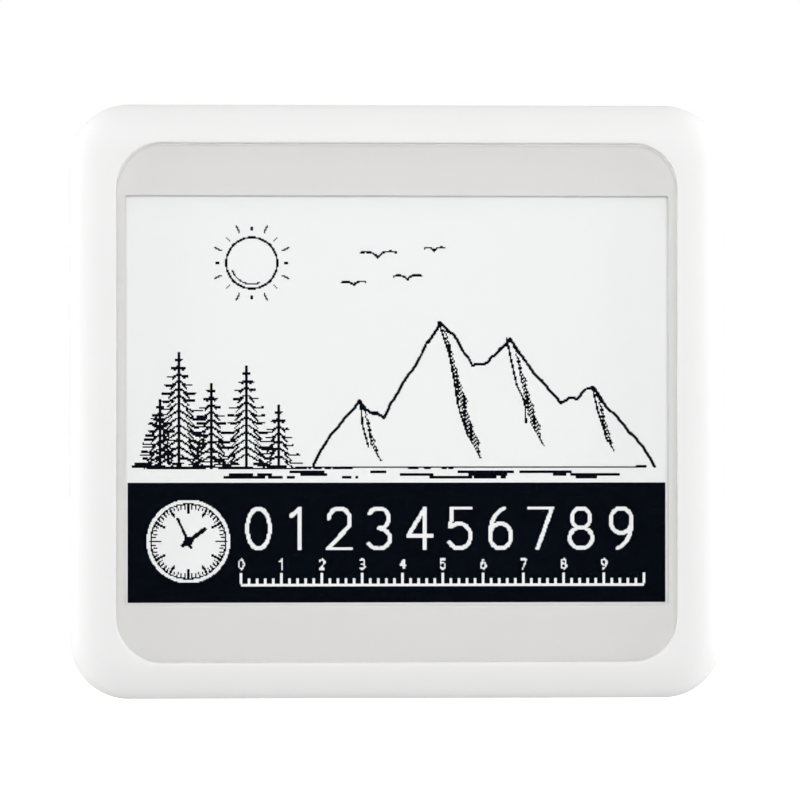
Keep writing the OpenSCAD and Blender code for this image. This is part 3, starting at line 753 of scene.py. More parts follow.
def buildFront():
    s = caseShape
    bossEnd = span["case_screws"]["out"][1] + s["pilotExtra"]
    standoffEnd = span["board_screws"]["out"][1] + s["pilotExtra"]
    posts = [
        pilotPost("boss%d" % i, spot, s["bossRadius"], s["bossPilot"], caseSpan["out"][0], bossEnd)
        for i, spot in enumerate(caseScrewSpots)
    ]
    posts += [
        rod("standoff%d" % i, s["standoffRadius"], boardSpan["out"][1], rootOut, spot)
        for i, spot in enumerate(boardScrewSpots)
    ]
    pilots = [
        rod("pilot%d" % i, s["standoffPilot"], boardBack, standoffEnd, spot)
        for i, spot in enumerate(boardScrewSpots)
    ]
    mesh = combine("frontShell", frontShell(), posts + panelRibs(), "UNION")
    return combine("frontShell", mesh, pilots, "DIFFERENCE")


frontMesh = buildFront()
front = finishObject("frontShell", frontMesh, "front_unit", [caseWhite], sharpAngle=32)
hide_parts("front_case")
print("front shell:", len(frontMesh.polygons), "faces")

# Rear half of the case; the posts' feet are as (beyond the post's radius, above the floor)
coverShape = {
    "edgeRadius": 1.6,
    "edgeSteps": 8,
    "wall": 1.6,
    "lipGap": 0.15,
    "lipThick": 0.9,
    "lipEase": 0.12,
    "edgeCut": 0.15,
    "floorFillet": 0.5,
    "filletSteps": 4,
    "rootSink": 0.1,
    "padRadius": 2.95,
    "padTop": 2.5,
    "notchRadius": 2.3,
    "headHole": 1.95,
    "seat": 1.4,
    "shankHole": 1.15,
    "holeEase": 0.2,
    "overrun": 0.5,
    "postRadius": 1.5,
    "postFoot": [(0.4, 0.0), (0.1, 0.15), (0.0, 0.5)],
    "postEase": 0.15,
    "postGap": 0.25,
    "postShares": [(-0.45, -0.4), (0.45, -0.4), (-0.45, 0.12), (0.45, 0.12)],
}
coilSpan = span["antenna_coil"]
coilShape = {
    "turns": 5,
    "pitch": 1.4,
    "endPitches": 2,
    "trackWide": 0.8,
    "thickShare": 0.9,
    "cornerRadius": 2.2,
    "cornerSteps": 6,
}
windings = 2 * (coilShape["turns"] - 1) * coilShape["pitch"]
fieldWide = coilSpan["x"][1] * 2 - windings - 2 * coilShape["trackWide"]
fieldHigh = coilSpan["up"][1] * 2 - windings - 2 * coilShape["trackWide"]


def rearBody():
    s = coverShape
    halfWide = coverSpan["x"][1]
    halfHigh = coverSpan["up"][1]
    corner = caseShape["cornerRadius"]
    lipTop = coverSpan["out"][1]
    seam = lipTop - caseShape["lipHigh"]

    def row(inset, out):
        return flatRow(halfWide - inset, halfHigh - inset, corner - inset, out)

    rows = []
    for step in range(s["edgeSteps"] + 1):
        angle = math.pi / 2 * step / s["edgeSteps"]
        rows.append(row(s["edgeRadius"] * (1 - math.sin(angle)), s["edgeRadius"] * (1 - math.cos(angle))))
    lipOuter = s["wall"] + s["lipGap"]
    lipInner = lipOuter + s["lipThick"]
    ease = s["lipEase"]
    rows += [
        row(0, seam - s["edgeCut"]), row(s["edgeCut"], seam), row(lipOuter, seam),
        row(lipOuter, lipTop - ease), row(lipOuter + ease, lipTop),
        row(lipInner - ease, lipTop), row(lipInner, lipTop - ease),
    ]
    for step in range(s["filletSteps"] + 1):
        angle = math.pi / 2 * step / s["filletSteps"]
        rows.append(row(lipInner + s["floorFillet"] * (1 - math.cos(angle)),
                        s["wall"] + s["floorFillet"] * (1 - math.sin(angle))))
    return loft("rearShell", rows, False)


def buildRear():
    s = coverShape
    root = s["wall"] - s["rootSink"]
    adds = [
        rod("pad%d" % i, s["padRadius"], root, s["padTop"], spot) for i, spot in enumerate(caseScrewSpots)
    ]
    radius = s["postRadius"]
    postTop = boardBack - s["postGap"]
    foot = [(radius + beyond, s["wall"] + above) for beyond, above in s["postFoot"]]
    post = [(0, root), (foot[0][0], root), *foot, (radius, postTop - s["postEase"]),
            (radius - s["postEase"], postTop), (0, postTop)]
    for i, (shareX, shareUp) in enumerate(s["postShares"]):
        adds.append(turned("post%d" % i, post, (shareX * fieldWide, shareUp * fieldHigh)))
    mesh = combine("rearShell", rearBody(), adds, "UNION")
    head = s["headHole"]
    ease = s["holeEase"]
    low = -s["overrun"]
    high = coverSpan["out"][1] + s["overrun"]
    hole = [
        (0, low), (head + ease, low), (head + ease, 0), (head, ease), (head, s["seat"]),
        (s["shankHole"], s["seat"]), (s["shankHole"], s["padTop"]), (s["notchRadius"], s["padTop"]),
        (s["notchRadius"], high), (0, high),
    ]
    cuts = [turned("counterbore%d" % i, hole, spot) for i, spot in enumerate(caseScrewSpots)]
    return combine("rearShell", mesh, cuts, "DIFFERENCE")


rearMesh = buildRear()
rear = finishObject("rearShell", rearMesh, "rear_shell", [caseWhite], sharpAngle=32)
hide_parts("rear_cover")
print("rear shell:", len(rearMesh.polygons), "faces")

# Screws: a pan head with a cross recess over a threaded shank. The tip, the thread and the recess's width are
# in shares of the radius, and the dome and the recess's depth in shares of the head's height
screwShape = {
    "threadDepth": 0.17,
    "around": 20,
    "rowsPerTurn": 8,
    "crestGain": 1.6,
    "tipLong": 0.72,
    "tipNarrow": 0.5,
    "shankSink": 0.1,
    "headAround": 40,
    "headEase": 0.06,
    "sideHigh": 0.35,
    "domeHigh": 0.6,
    "domeInset": 0.5,
    "domeSteps": 5,
    "recessReach": 0.598,
    "recessHalf": 0.156,
    "recessDeep": 0.55,
    "recessNarrow": (0.55, 0.7),
    "recessStart": 0.3,
}
screwSizes = {
    "case_screws": {"headRadius": 1.75, "headHigh": 1.2, "shankRadius": 1.0, "pitch": 0.8},
    "board_screws": {"headRadius": 1.4, "headHigh": 0.8, "shankRadius": 0.8, "pitch": 0.6},
}


def threadedShank(name, radius, low, high, pitch):
    s = screwShape
    depth = s["threadDepth"] * radius
    rowCount = int((high - low) / pitch * s["rowsPerTurn"])
    tip = high - radius * s["tipLong"]
    rows = []
    for r in range(rowCount + 1):
        out = low + (high - low) * r / rowCount
        taper = 1.0 if out < tip else 1.0 - s["tipNarrow"] * (out - tip) / (high - tip)
        row = []
        for a in range(s["around"]):
            angle = 2 * math.pi * a / s["around"]
            phase = (out / pitch - a / s["around"]) % 1
            crest = 1 - abs(2 * phase - 1)
            size = (radius - depth * (1 - min(crest * s["crestGain"], 1))) * taper
            row.append((size * math.cos(angle), size * math.sin(angle), out))
        rows.append(row)
    return loft(name, rows, False)


def panHead(name, radius, low, seat):
    s = screwShape
    high = seat - low
    profile = [(0, seat), (radius - s["headEase"], seat), (radius, seat - s["headEase"])]
    for step in range(s["domeSteps"] + 1):
        angle = math.pi / 2 * step / s["domeSteps"]
        inset = s["domeInset"] * high * (1 - math.cos(angle))
        rise = s["domeHigh"] * high * math.sin(angle)
        profile.append((radius - inset, seat - s["sideHigh"] * high - rise))
    profile.append((0, low))
    head = turned(name, profile, steps=s["headAround"])
    reach = radius * s["recessReach"]
    slot = radius * s["recessHalf"]
    narrowX, narrowUp = s["recessNarrow"]
    arms = []
    for i, (a, b) in enumerate(((reach, slot), (slot, reach))):
        corners = ((-a, -b), (a, -b), (a, b), (-a, b))
        arms.append(loft(name + "Arm%d" % i, [
            [(x, up, low - s["recessStart"]) for x, up in corners],
            [(x * narrowX, up * narrowUp, low + high * s["recessDeep"]) for x, up in corners],
        ], False))
    return combine(name, head, arms, "DIFFERENCE")


def buildScrews(name, nodeName, spots, body):
    s = screwSizes[nodeName]
    low, high = span[nodeName]["out"]
    seat = low + s["headHigh"]
    head = panHead(name + "Head", s["headRadius"], low, seat)
    shank = threadedShank(name + "Shank", s["shankRadius"], seat - screwShape["shankSink"], high, s["pitch"])
    screw = joinMeshes(name + "One", [head, shank])
    mesh = repeatPiece(name, screw, [place(x, up, 0) for x, up in spots], zincSteel)
    obj = finishObject(name, mesh, body, [zincSteel], sharpAngle=40)
    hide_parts(nodeName)
    print(name + ":", len(mesh.polygons), "faces")


buildScrews("caseScrewSet", "case_screws", caseScrewSpots, "rear_shell")
buildScrews("boardScrewSet", "board_screws", boardScrewSpots, "front_unit")

# Clear window, with its front edge eased, and the clear film over the ink
windowShape = {"radius": 6.8, "ease": 0.12, "easeSteps": 3, "flatInset": 0.3, "filmInset": 0.03}


def windowPlate():
    s = windowShape
    low, high = windowSpan["out"]
    wide = windowSpan["x"][1]
    tall = (windowSpan["up"][1] - windowSpan["up"][0]) / 2
    centre = (0, middle(windowSpan["up"]))
    stations = [
        (s["flatInset"], low + s["filmInset"]), (s["ease"], low + s["filmInset"]), (0, low + s["ease"]),
    ]
    for step in range(s["easeSteps"] + 1):
        angle = math.pi / 2 * step / s["easeSteps"]
        stations.append((s["ease"] * (1 - math.cos(angle)), high - s["ease"] * (1 - math.sin(angle))))
    stations.append((s["flatInset"], high))
    rows = [flatRow(wide - inset, tall - inset, s["radius"] - inset, out, centre) for inset, out in stations]
    return loft("windowPlate", rows, False)


windowMesh = windowPlate()
windowPiece = finishObject("windowPlate", windowMesh, "front_unit", [windowClear],
                           sharpAngle=30)
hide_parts("window")
filmSpan = span["protective_film"]
filmMesh = block(
    "clearFilm",
    (filmSpan["x"][0], filmSpan["up"][0], filmSpan["out"][0] + windowShape["filmInset"]),
    (filmSpan["x"][1], filmSpan["up"][1], filmSpan["out"][1] - windowShape["filmInset"]),
)
film = finishObject("clearFilm", filmMesh, "front_unit", [filmClear], sharpAngle=30)
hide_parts("protective_film")

# These nodes keep the shapes of the pack and take a material
plainNodes = {
    "grey_mask": maskInk,
    "window_tape": tapeWhite,
    "ink_film": paperWhite,
    "edge_seal": sealBead,
    "panel_glass": glassDark,
    "driver_chip": siliconDark,
    "driver_coating": sealantDark,
    "panel_flex": flexAmber,
    "flex_stiffener": stiffenerBlue,
    "panel_tape": tapeYellow,
    "circuit_board": boardGreen,
    "flex_connector": ivoryResin,
    "connector_contacts": padGold,
    "connector_latch": latchBlack,
}
for plainName, plainMaterial in plainNodes.items():
    nodes[plainName].data.materials.clear()
    nodes[plainName].data.materials.append(plainMaterial)
print("window and screen ready")

# Antenna: one track wound inwards, with rounded corners
def antennaPath():
    s = coilShape
    halfWide = coilSpan["x"][1] - s["trackWide"] / 2
    halfHigh = coilSpan["up"][1] - s["trackWide"] / 2
    path = [(halfWide, halfHigh)]
    for turn in range(s["turns"]):
        a = halfWide - turn * s["pitch"]
        b = halfHigh - turn * s["pitch"]
        inner = a - s["pitch"] * (s["endPitches"] if turn == s["turns"] - 1 else 1)
        path += [(a, -b), (-a, -b), (-a, b), (inner, b)]
    return path


coilThick = (coilSpan["out"][1] - coilSpan["out"][0]) * coilShape["thickShare"]
coilMesh = tracks("antennaTrack", [antennaPath()], middle(coilSpan["out"]), coilShape["trackWide"], coilThick,
                  coilShape["cornerRadius"], coilShape["cornerSteps"], coilCopper)
coil = finishObject("antennaTrack", coilMesh, "front_unit", [coilCopper], sharpAngle=40)
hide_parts("antenna_coil")
print("antenna:", len(coilMesh.polygons), "faces")

# Parts on the board: each starts on the board's back and grows away from it
partShape = {
    "ease": 0.06,
    "draft": 0.1,
    "markEase": 0.01,
    "markProud": 0.001,
    "markSink": 0.023,
    "pinMarkHigh": (0.01, 0.001),
    "pinMarkAround": 20,
}


# Offsets of things set out evenly about a middle
def evenly(count, pitch):
    return [(i - (count - 1) / 2) * pitch for i in range(count)]


# Eased box about the middle, from one height over the board to another
def centredBox(name, wide, tall, low, high, ease, draft=0.0):
    return easedBox(name, (-wide / 2, -tall / 2, -high), (wide / 2, tall / 2, -low), ease, draft)


def resinBody(name, size, lift):
    return centredBox(name, size[0], size[1], lift, size[2], partShape["ease"], partShape["draft"])


# Gull-wing lead that leaves its package along up. Its bends start from the knee along the lead, and from the
# lead's top at the knee or from its foot at the foot
leadShape = {
    "inside": 0.2,
    "kneeShare": 0.45,
    "outerKnee": [(-0.08, 0.0), (0.0, 0.06)],
    "outerFoot": [(0.1, 0.08), (0.16, 0.0)],
    "innerFoot": [(0.04, 0.0), (-0.06, 0.08)],
    "innerKnee": [(-0.14, 0.05), (-0.2, 0.0)],
}


def gullWing(name, width, reach, high, thick):
    s = leadShape
    knee = reach * s["kneeShare"]
    points = [(-s["inside"], -high)]
    points += [(knee + along, -high + down) for along, down in s["outerKnee"]]
    points += [(knee + along, -thick - rise) for along, rise in s["outerFoot"]]
    points += [(reach, -thick), (reach, 0)]
    points += [(knee + along, -rise) for along, rise in s["innerFoot"]]
    points += [(knee + along, -high + thick + down) for along, down in s["innerKnee"]]
    points.append((-s["inside"], -high + thick))
    return profileBar(name, points, width / 2)


def leadRow(name, lead, spots):
    return repeatPiece(name, lead, [place(x, up, 0) for x, up, side in spots], solderTin,
                       turns=[(0, 0 if side > 0 else math.pi, 0) for x, up, side in spots])


# Printed bar on a package's top
def flatMark(name, centre, size, high):
    s = partShape
    low = (centre[0] - size[0] / 2, centre[1] - size[1] / 2, -high - s["markProud"])
    top = (centre[0] + size[0] / 2, centre[1] + size[1] / 2, -high + s["markSink"])
    return easedBox(name, low, top, s["markEase"])


def pinMark(name, s):
    low, high = [drop - s["size"][2] for drop in partShape["pinMarkHigh"]]
    return rod(name, s["markRadius"], low, high, s["markSpot"], partShape["pinMarkAround"])


# Bars of (x, up, wide, tall) over a base, from one height to another
def flatBars(name, bars, base, low, high, material):
    unit = block(name + "Unit", (-0.5, -0.5, -high), (0.5, 0.5, -low))
    return repeatPiece(name, unit, [place(x, up, base) for x, up, wide, tall in bars], material,
                       sizes=[(wide, 1, tall) for x, up, wide, tall in bars])


# Puts copies of one package at the places of a node's solids, and replaces the node
def placePackages(name, nodeName, parts, turn=(0, 0, 0)):
    points = [place(x, up, boardBack) for x, up in spotsOf(nodeName)]
    meshes = [
        repeatPiece(name + "Part%d" % i, mesh, points, material, turns=[turn] * len(points))
        for i, (mesh, material) in enumerate(parts)
    ]
    joined = joinMeshes(name, meshes)
    obj = finishObject(name, joined, "front_unit", [material for mesh, material in parts])
    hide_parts(nodeName)
    print(name + ":", len(joined.polygons), "faces")


# Leads are as (width, reach, height, thickness)
radioShape = {
    "size": (4.9, 3.9, 1.5),
    "lift": 0.15,
    "lead": (0.42, 1.05, 0.75, 0.2),
    "leadsPerSide": 4,
    "leadPitch": 1.27,
    "markRadius": 0.28,
    "markSpot": (-1.9, -1.3),
}


def radioChip():
    s = radioShape
    lead = gullWing("radioLead", *s["lead"])
    across = evenly(s["leadsPerSide"], s["leadPitch"])
    spots = [(x, side * s["size"][1] / 2, side) for x in across for side in (-1, 1)]
    body = resinBody("radioBody", s["size"], s["lift"])
    leads = leadRow("radioLeads", lead, spots)
    mark = pinMark("radioMark", s)
    placePackages("radioChip", "nfc_chip",
                  [(body, packageBlack), (leads, solderTin), (mark, markGrey)])


processorShape = {
    "size": (7.0, 7.0, 0.85),
    "lift": 0.03,
    "ease": 0.05,
    "padsPerSide": 12,
    "padPitch": 0.5,
    "padInset": 0.19,
    "padSize": (0.25, 0.4),
    "padHigh": (0.01, 0.22),
    "markRadius": 0.35,
    "markSpot": (-2.7, 2.7),
}


def processor():
    s = processorShape
    wide, tall, high = s["size"]
    body = centredBox("processorBody", wide, tall, s["lift"], high, s["ease"])
    narrow, long = s["padSize"]
    pads = []
    for offset in evenly(s["padsPerSide"], s["padPitch"]):
        for side in (-1, 1):
            pads.append((offset, side * (tall / 2 - s["padInset"]), narrow, long))
            pads.append((side * (wide / 2 - s["padInset"]), offset, long, narrow))
    padMesh = flatBars("processorPads", pads, 0, *s["padHigh"], solderTin)
    mark = pinMark("processorMark", s)
    placePackages("processor", "microcontroller",
                  [(body, packageBlack), (padMesh, solderTin), (mark, markGrey)])


smallShape = {"size": (2.9, 1.6, 1.1), "lift": 0.12, "lead": (0.4, 0.6, 0.55, 0.15), "leadPitch": 0.95}


# Small package with leads at whole steps from its middle, along its upper and its lower side
def smallPackage(name, nodeName, upper, lower):
    s = smallShape
    lead = gullWing(name + "Lead", *s["lead"])
    spots = [
        (step * s["leadPitch"], side * s["size"][1] / 2, side)
        for steps, side in ((upper, 1), (lower, -1)) for step in steps
    ]
    body = resinBody(name + "Body", s["size"], s["lift"])
    leads = leadRow(name + "Leads", lead, spots)
    placePackages(name, nodeName, [(body, packageBlack), (leads, solderTin)])


def singleMaterial(mesh):
    for polygon in mesh.polygons:
        polygon.material_index = 0
    return mesh


# Leads under the ends of a package: up its end face and flat below it
def endStrips(name, halfLong, halfWide, high, thick, foot):
    strips = []
    for side in (-1, 1):
        for part, deep, top in (("Up", thick, high), ("Foot", foot, thick)):
            x0, x1 = sorted((side * halfLong, side * (halfLong - deep)))
            strips.append(block(name + part + "%d" % side, (x0, -halfWide, -top), (x1, halfWide, 0)))
    return singleMaterial(joinMeshes(name, strips))


# Eased ends of a package, each from one distance from its middle to another
def endCaps(name, near, far, halfWide, high, ease):
    caps = []
    for side in (-1, 1):
        x0, x1 = sorted((side * near, side * far))
        caps.append(easedBox(name + "%d" % side, (x0, -halfWide, -high), (x1, halfWide, 0), ease))
    return singleMaterial(joinMeshes(name, caps))


diodeShape = {
    "size": (2.7, 1.6, 1.1),
    "lift": 0.15,
    "tabReach": (0.9, 1.82),
    "tabHalfWide": 0.3,
    "tabHigh": 0.28,
    "tabEase": 0.03,
    "bandSpot": (-0.85, 0),
    "bandSize": (0.3, 1.3),
}


def diodes(name, nodeName, upright):
    s = diodeShape
    body = resinBody(name + "Body", s["size"], s["lift"])
    tabs = endCaps(name + "Tabs", *s["tabReach"], s["tabHalfWide"], s["tabHigh"], s["tabEase"])
    band = flatMark(name + "Band", s["bandSpot"], s["bandSize"], s["size"][2])
    placePackages(name, nodeName,
                  [(body, packageBlack), (tabs, solderTin), (band, markGrey)],
                  (0, math.pi / 2 if upright else 0, 0))


tantalumShape = {
    "size": (3.5, 2.8, 1.9),
    "lift": 0.15,
    "endRoom": 0.3,
    "tabHalfWide": 1.1,
    "tabThick": 0.13,
    "tabFoot": 0.8,
    "barSpot": (-1.15, 0),
    "barSize": (0.5, 2.3),
}


def tantalums():
    s = tantalumShape
    wide, tall, high = s["size"]
    body = resinBody("tantalumBody", (wide - s["endRoom"], tall, high), s["lift"])
    tabs = endStrips("tantalumTabs", wide / 2, s["tabHalfWide"], high / 2, s["tabThick"], s["tabFoot"])
    bar = flatMark("tantalumBar", s["barSpot"], s["barSize"], high)
    placePackages("tantalums", "reservoir_capacitors",
                  [(body, tantalumYellow), (tabs, solderTin), (bar, barBrown)])


# The wire's outline is as (radius, height over the board)
inductorShape = {
    "side": 4.0,
    "high": 1.8,
    "baseHigh": (0.02, 0.45),
    "topThick": 0.35,
    "ease": 0.08,
    "waistRadius": 1.75,
    "waistLow": 0.4,
    "waistDrop": 0.3,
    "around": 40,
    "wire": [(1.7, 0.5), (1.84, 0.56), (1.84, 0.66), (1.76, 0.72), (1.84, 0.78), (1.84, 0.88), (1.76, 0.94),
             (1.84, 1.0), (1.84, 1.1), (1.76, 1.16), (1.84, 1.22), (1.84, 1.34), (1.7, 1.4)],
    "footHalfWide": 1.5,
    "footHigh": 0.4,
    "footThick": 0.06,
    "footLong": 1.0,
}


def inductor():
    s = inductorShape
    side = s["side"]
    high = s["high"]
    base = centredBox("inductorBase", side, side, *s["baseHigh"], s["ease"])
    upper = centredBox("inductorTop", side, side, high - s["topThick"], high, s["ease"])
    waist = rod("inductorWaist", s["waistRadius"], -s["waistLow"], s["waistDrop"] - high, steps=s["around"])
    wireTurns = turned("inductorWire", [(radius, -out) for radius, out in s["wire"]], steps=s["around"])
    feet = endStrips("inductorFeet", side / 2, s["footHalfWide"], s["footHigh"], s["footThick"],
                     s["footLong"])
    placePackages("inductor", "boost_inductor",
                  [(base, ferriteGrey), (upper, ferriteGrey), (waist, ferriteGrey), (wireTurns, coilCopper),
                   (feet, solderTin)])


chipShape = {
    "capacitor": (1.6, 0.8, 0.8),
    "resistor": (1.6, 0.8, 0.45),
    "ease": 0.03,
    "lift": 0.01,
    "proud": 0.03,
    "capShare": 0.22,
    "capOverlap": 0.6,
    "capEase": 0.048,
    "glazeInset": 0.08,
    "glazeDrop": (0.06, 0.01),
    "glazeEase": 0.015,
}


def chipParts(name, nodeName, size, bodyMaterial, topMaterial=None):
    s = chipShape
    wide, tall, high = size
    cap = wide * s["capShare"]
    proud = s["proud"]
    bodyWide = wide - 2 * cap * s["capOverlap"]
    body = centredBox(name + "Body", bodyWide, tall - 2 * proud, s["lift"], high - proud, s["ease"])
    caps = endCaps(name + "Caps", wide / 2 - cap, wide / 2, tall / 2, high, s["capEase"])
    parts = [(body, bodyMaterial), (caps, solderTin)]
    if topMaterial:
        low, top = [high - drop for drop in s["glazeDrop"]]
        glazeTall = tall - 2 * s["glazeInset"]
        glaze = centredBox(name + "Glaze", wide - 2 * cap, glazeTall, low, top, s["glazeEase"])
        parts.append((glaze, topMaterial))
    placePackages(name, nodeName, parts, (0, math.pi / 2, 0))


radioChip()
processor()
smallPackage("regulator", "voltage_regulator", (-1, 0, 1), (-1, 1))
smallPackage("transistor", "boost_transistor", (0,), (-1, 1))
diodes("boosterDiodes", "booster_diodes", True)
diodes("bridgeDiodes", "bridge_diodes", False)
tantalums()
inductor()
chipParts("ceramics", "ceramic_capacitors", chipShape["capacitor"], ceramicTan)
chipParts("tuningCaps", "tuning_capacitors", chipShape["capacitor"], ceramicTan)
chipParts("chipResistors", "resistors", chipShape["resistor"], aluminaWhite,
          resistorBlack)

# On the board: pads of solder, printed outlines, tracks under the mask and vias
boardArt = {
    "sink": 0.002,
    "padHeight": 0.03,
    "silkHeight": 0.015,
    "silkWide": 0.15,
    "silkGap": 0.35,
    "silkFine": 0.8,
    "fineBelow": 3,
    "trackWide": 0.25,
    "trackHeight": 0.02,
    "trackCorner": 0.4,
    "trackCornerSteps": 3,
    "bendShare": 0.4,
    "viaRadius": 0.3,
    "viaHole": 0.14,
    "viaHeight": 0.02,
    "viaAround": 16,
    "viaCount": 46,
    "viaAcross": (-0.46, 0.46),
    "viaUp": (-0.44, 0.46),
    "viaMargin": 1.0,
    "viaApart": 2.5,
    "seed": 11,
}
outlined = ["nfc_chip", "microcontroller", "voltage_regulator", "boost_transistor", "booster_diodes",
            "bridge_diodes", "reservoir_capacitors", "boost_inductor", "ceramic_capacitors",
            "tuning_capacitors", "resistors", "flex_connector"]
keepOut = [s for name in outlined for s in solidsOf(name)]


def silkFrames():
    s = boardArt
    bars = []
    for solid in keepOut:
        gap = s["silkGap"]
        x0, x1 = solid["x"][0] - gap, solid["x"][1] + gap
        up0, up1 = solid["up"][0] - gap, solid["up"][1] + gap
        long = max(x1 - x0, up1 - up0)
        line = s["silkWide"] if long > s["fineBelow"] else s["silkWide"] * s["silkFine"]
        wide = x1 - x0 + line
        tall = up1 - up0 + line
        bars += [(middle((x0, x1)), up, wide, line) for up in (up0, up1)]
        bars += [(x, middle((up0, up1)), line, tall) for x in (x0, x1)]
    return bars


# Pads on both sides of a part, as (across, up, wide, tall) from its middle
def padPair(across, up, wide, tall):
    return [(across, up, wide, tall), (-across, -up, wide, tall)]


chipPads = padPair(0, 0.78, 1.0, 0.75)
smallLead = smallShape["leadPitch"]
padShapes = {
    "ceramic_capacitors": chipPads,
    "tuning_capacitors": chipPads,
    "resistors": chipPads,
    "booster_diodes": padPair(0, 1.75, 1.3, 0.9),
    "bridge_diodes": padPair(1.75, 0, 0.9, 1.3),
    "reservoir_capacitors": padPair(1.65, 0, 1.1, 2.5),
    "boost_inductor": padPair(1.6, 0, 1.2, 3.3),
    "nfc_chip": [(x, side * 2.65, 0.6, 1.1) for x in evenly(4, 1.27) for side in (-1, 1)],
    "microcontroller": [(x, side * 3.5, 0.28, 0.6) for x in evenly(12, 0.5) for side in (-1, 1)]
    + [(side * 3.5, up, 0.6, 0.28) for up in evenly(12, 0.5) for side in (-1, 1)],
    "voltage_regulator": [(x, 1.2, 0.55, 0.7) for x in (-smallLead, 0, smallLead)]
    + [(x, -1.2, 0.55, 0.7) for x in (-smallLead, smallLead)],
    "boost_transistor": [(0, 1.2, 0.55, 0.7)] + [(x, -1.2, 0.55, 0.7) for x in (-smallLead, smallLead)],
}
contactPads = {"count": 24, "pitch": 0.5, "ahead": 0.55, "size": (0.26, 1.0)}


def smallPads():
    pads = [
        (x + across, up + above, wide, tall)
        for nodeName, shapes in padShapes.items()
        for x, up in spotsOf(nodeName)
        for across, above, wide, tall in shapes
    ]
    s = contactPads
    row = span["flex_connector"]["up"][1] + s["ahead"]
    return pads + [(x, row, *s["size"]) for x in evenly(s["count"], s["pitch"])]


def barsOnBoard(name, bars, height, material):
    mesh = flatBars(name, bars, boardBack, -boardArt["sink"], height, material)
    finishObject(name, mesh, "front_unit", [material], sharpAngle=40)
    print(name + ":", len(mesh.polygons), "faces")


def isFree(x, up, margin):
    return all(
        x < s["x"][0] - margin or x > s["x"][1] + margin
        or up < s["up"][0] - margin or up > s["up"][1] + margin
        for s in keepOut
    )


def vias():
    s = boardArt
    rng = random.Random(s["seed"])
    ring = turned("viaRing", [(s["viaHole"], 0), (s["viaRadius"], 0), (s["viaRadius"], -s["viaHeight"]),
                              (s["viaHole"], -s["viaHeight"])], steps=s["viaAround"])
    spots = []
    while len(spots) < s["viaCount"]:
        x = rng.uniform(*s["viaAcross"]) * fieldWide
        up = rng.uniform(*s["viaUp"]) * fieldHigh
        if isFree(x, up, s["viaMargin"]) and all(math.hypot(x - a, up - b) > s["viaApart"] for a, b in spots):
            spots.append((x, up))
    mesh = repeatPiece("viaRings", ring, [place(x, up, boardBack) for x, up in spots], padGold)
    finishObject("viaRings", mesh, "front_unit", [padGold], sharpAngle=40)


# A bundle of tracks: straight, then at 45 degrees, then straight again
def bundle(start, end, count, pitch, upFirst):
    paths = []
    for shift in evenly(count, pitch):
        x0, up0 = start
        x1, up1 = end
        bend = shift * boardArt["bendShare"]
        if upFirst:
            x0, x1 = x0 + shift, x1 + shift
            run = abs(x1 - x0)
            bend += middle((up0, up1)) - math.copysign(run / 2, up1 - up0)
            paths.append([(x0, up0), (x0, bend), (x1, bend + math.copysign(run, up1 - up0)), (x1, up1)])
        else:
            up0, up1 = up0 + shift, up1 + shift
            run = abs(up1 - up0)
            bend += middle((x0, x1)) - math.copysign(run / 2, x1 - x0)
            paths.append([(x0, up0), (bend, up0), (bend + math.copysign(run, x1 - x0), up1), (x1, up1)])
    return paths


# Bundles of tracks: the two ends, the number of tracks, their pitch, and whether they start up the board. An
# end is (across, up) from a part's middle or from the connector's mouth, or it is a place on the board
trackRuns = [
    (("microcontroller", 3.7, 0.5), ("nfc_chip", -2.2, -3.1), 4, 0.6, False),
    (("microcontroller", 1.2, -3.7), ("mouth", -3.5, 1.0), 6, 0.5, True),
    (("microcontroller", -1.8, -3.7), ("boost_transistor", 0, 1.5), 2, 0.6, True),
    (("nfc_chip", 1.9, 3.1), ("board", 31.6, 26.5), 2, 0.9, True),
    (("voltage_regulator", 0, 1.5), ("board", 21.8, 11.9), 2, 0.9, True),
    (("voltage_regulator", 0, -1.5), ("board", 22.2, -6.4), 2, 1.2, True),
    (("boost_transistor", -1.6, 0), ("boost_inductor", 2.1, 0), 1, 0.8, False),
    (("board", 4.5, -11.0), ("mouth", 3.0, 1.0), 3, 0.8, True),
]


def runEnd(name, across, up):
    if name == "board":
        return across, up
    if name == "mouth":
        return across, span["flex_connector"]["up"][1] + up
    x, middleUp = spotsOf(name)[0]
    return x + across, middleUp + up


def boardTracks():
    s = boardArt
    paths = []
    for start, end, count, pitch, upFirst in trackRuns:
        paths += bundle(runEnd(*start), runEnd(*end), count, pitch, upFirst)
    mesh = tracks("boardTracks", paths, boardBack, s["trackWide"], s["trackHeight"] * 2, s["trackCorner"],
                  s["trackCornerSteps"], trackGreen)
    finishObject("boardTracks", mesh, "front_unit", [trackGreen], sharpAngle=40)
    print("board tracks:", len(mesh.polygons), "faces")


barsOnBoard("silkFrames", silkFrames(), boardArt["silkHeight"], silkWhite)
barsOnBoard("solderPads", smallPads(), boardArt["padHeight"], solderTin)
vias()
boardTracks()

# The picture: drawn in the panel's own pixels, as runs of dark ones along each row
picture = {
    "seed": 4,
    "liftOut": 0.012,
    "leastReach": 0.55,
    "dotsPerPixel": 2,
    "arcSteps": 24,
    "finestPart": 5,
    "calming": 0.6,
    "sun": (92, 48, 19),
    "birds": [(186, 46, 9), (208, 62, 7), (168, 66, 6), (228, 40, 5)],
    "pines": [(38, 199, 84), (62, 200, 62), (88, 199, 74), (112, 200, 46), (24, 200, 50)],
}


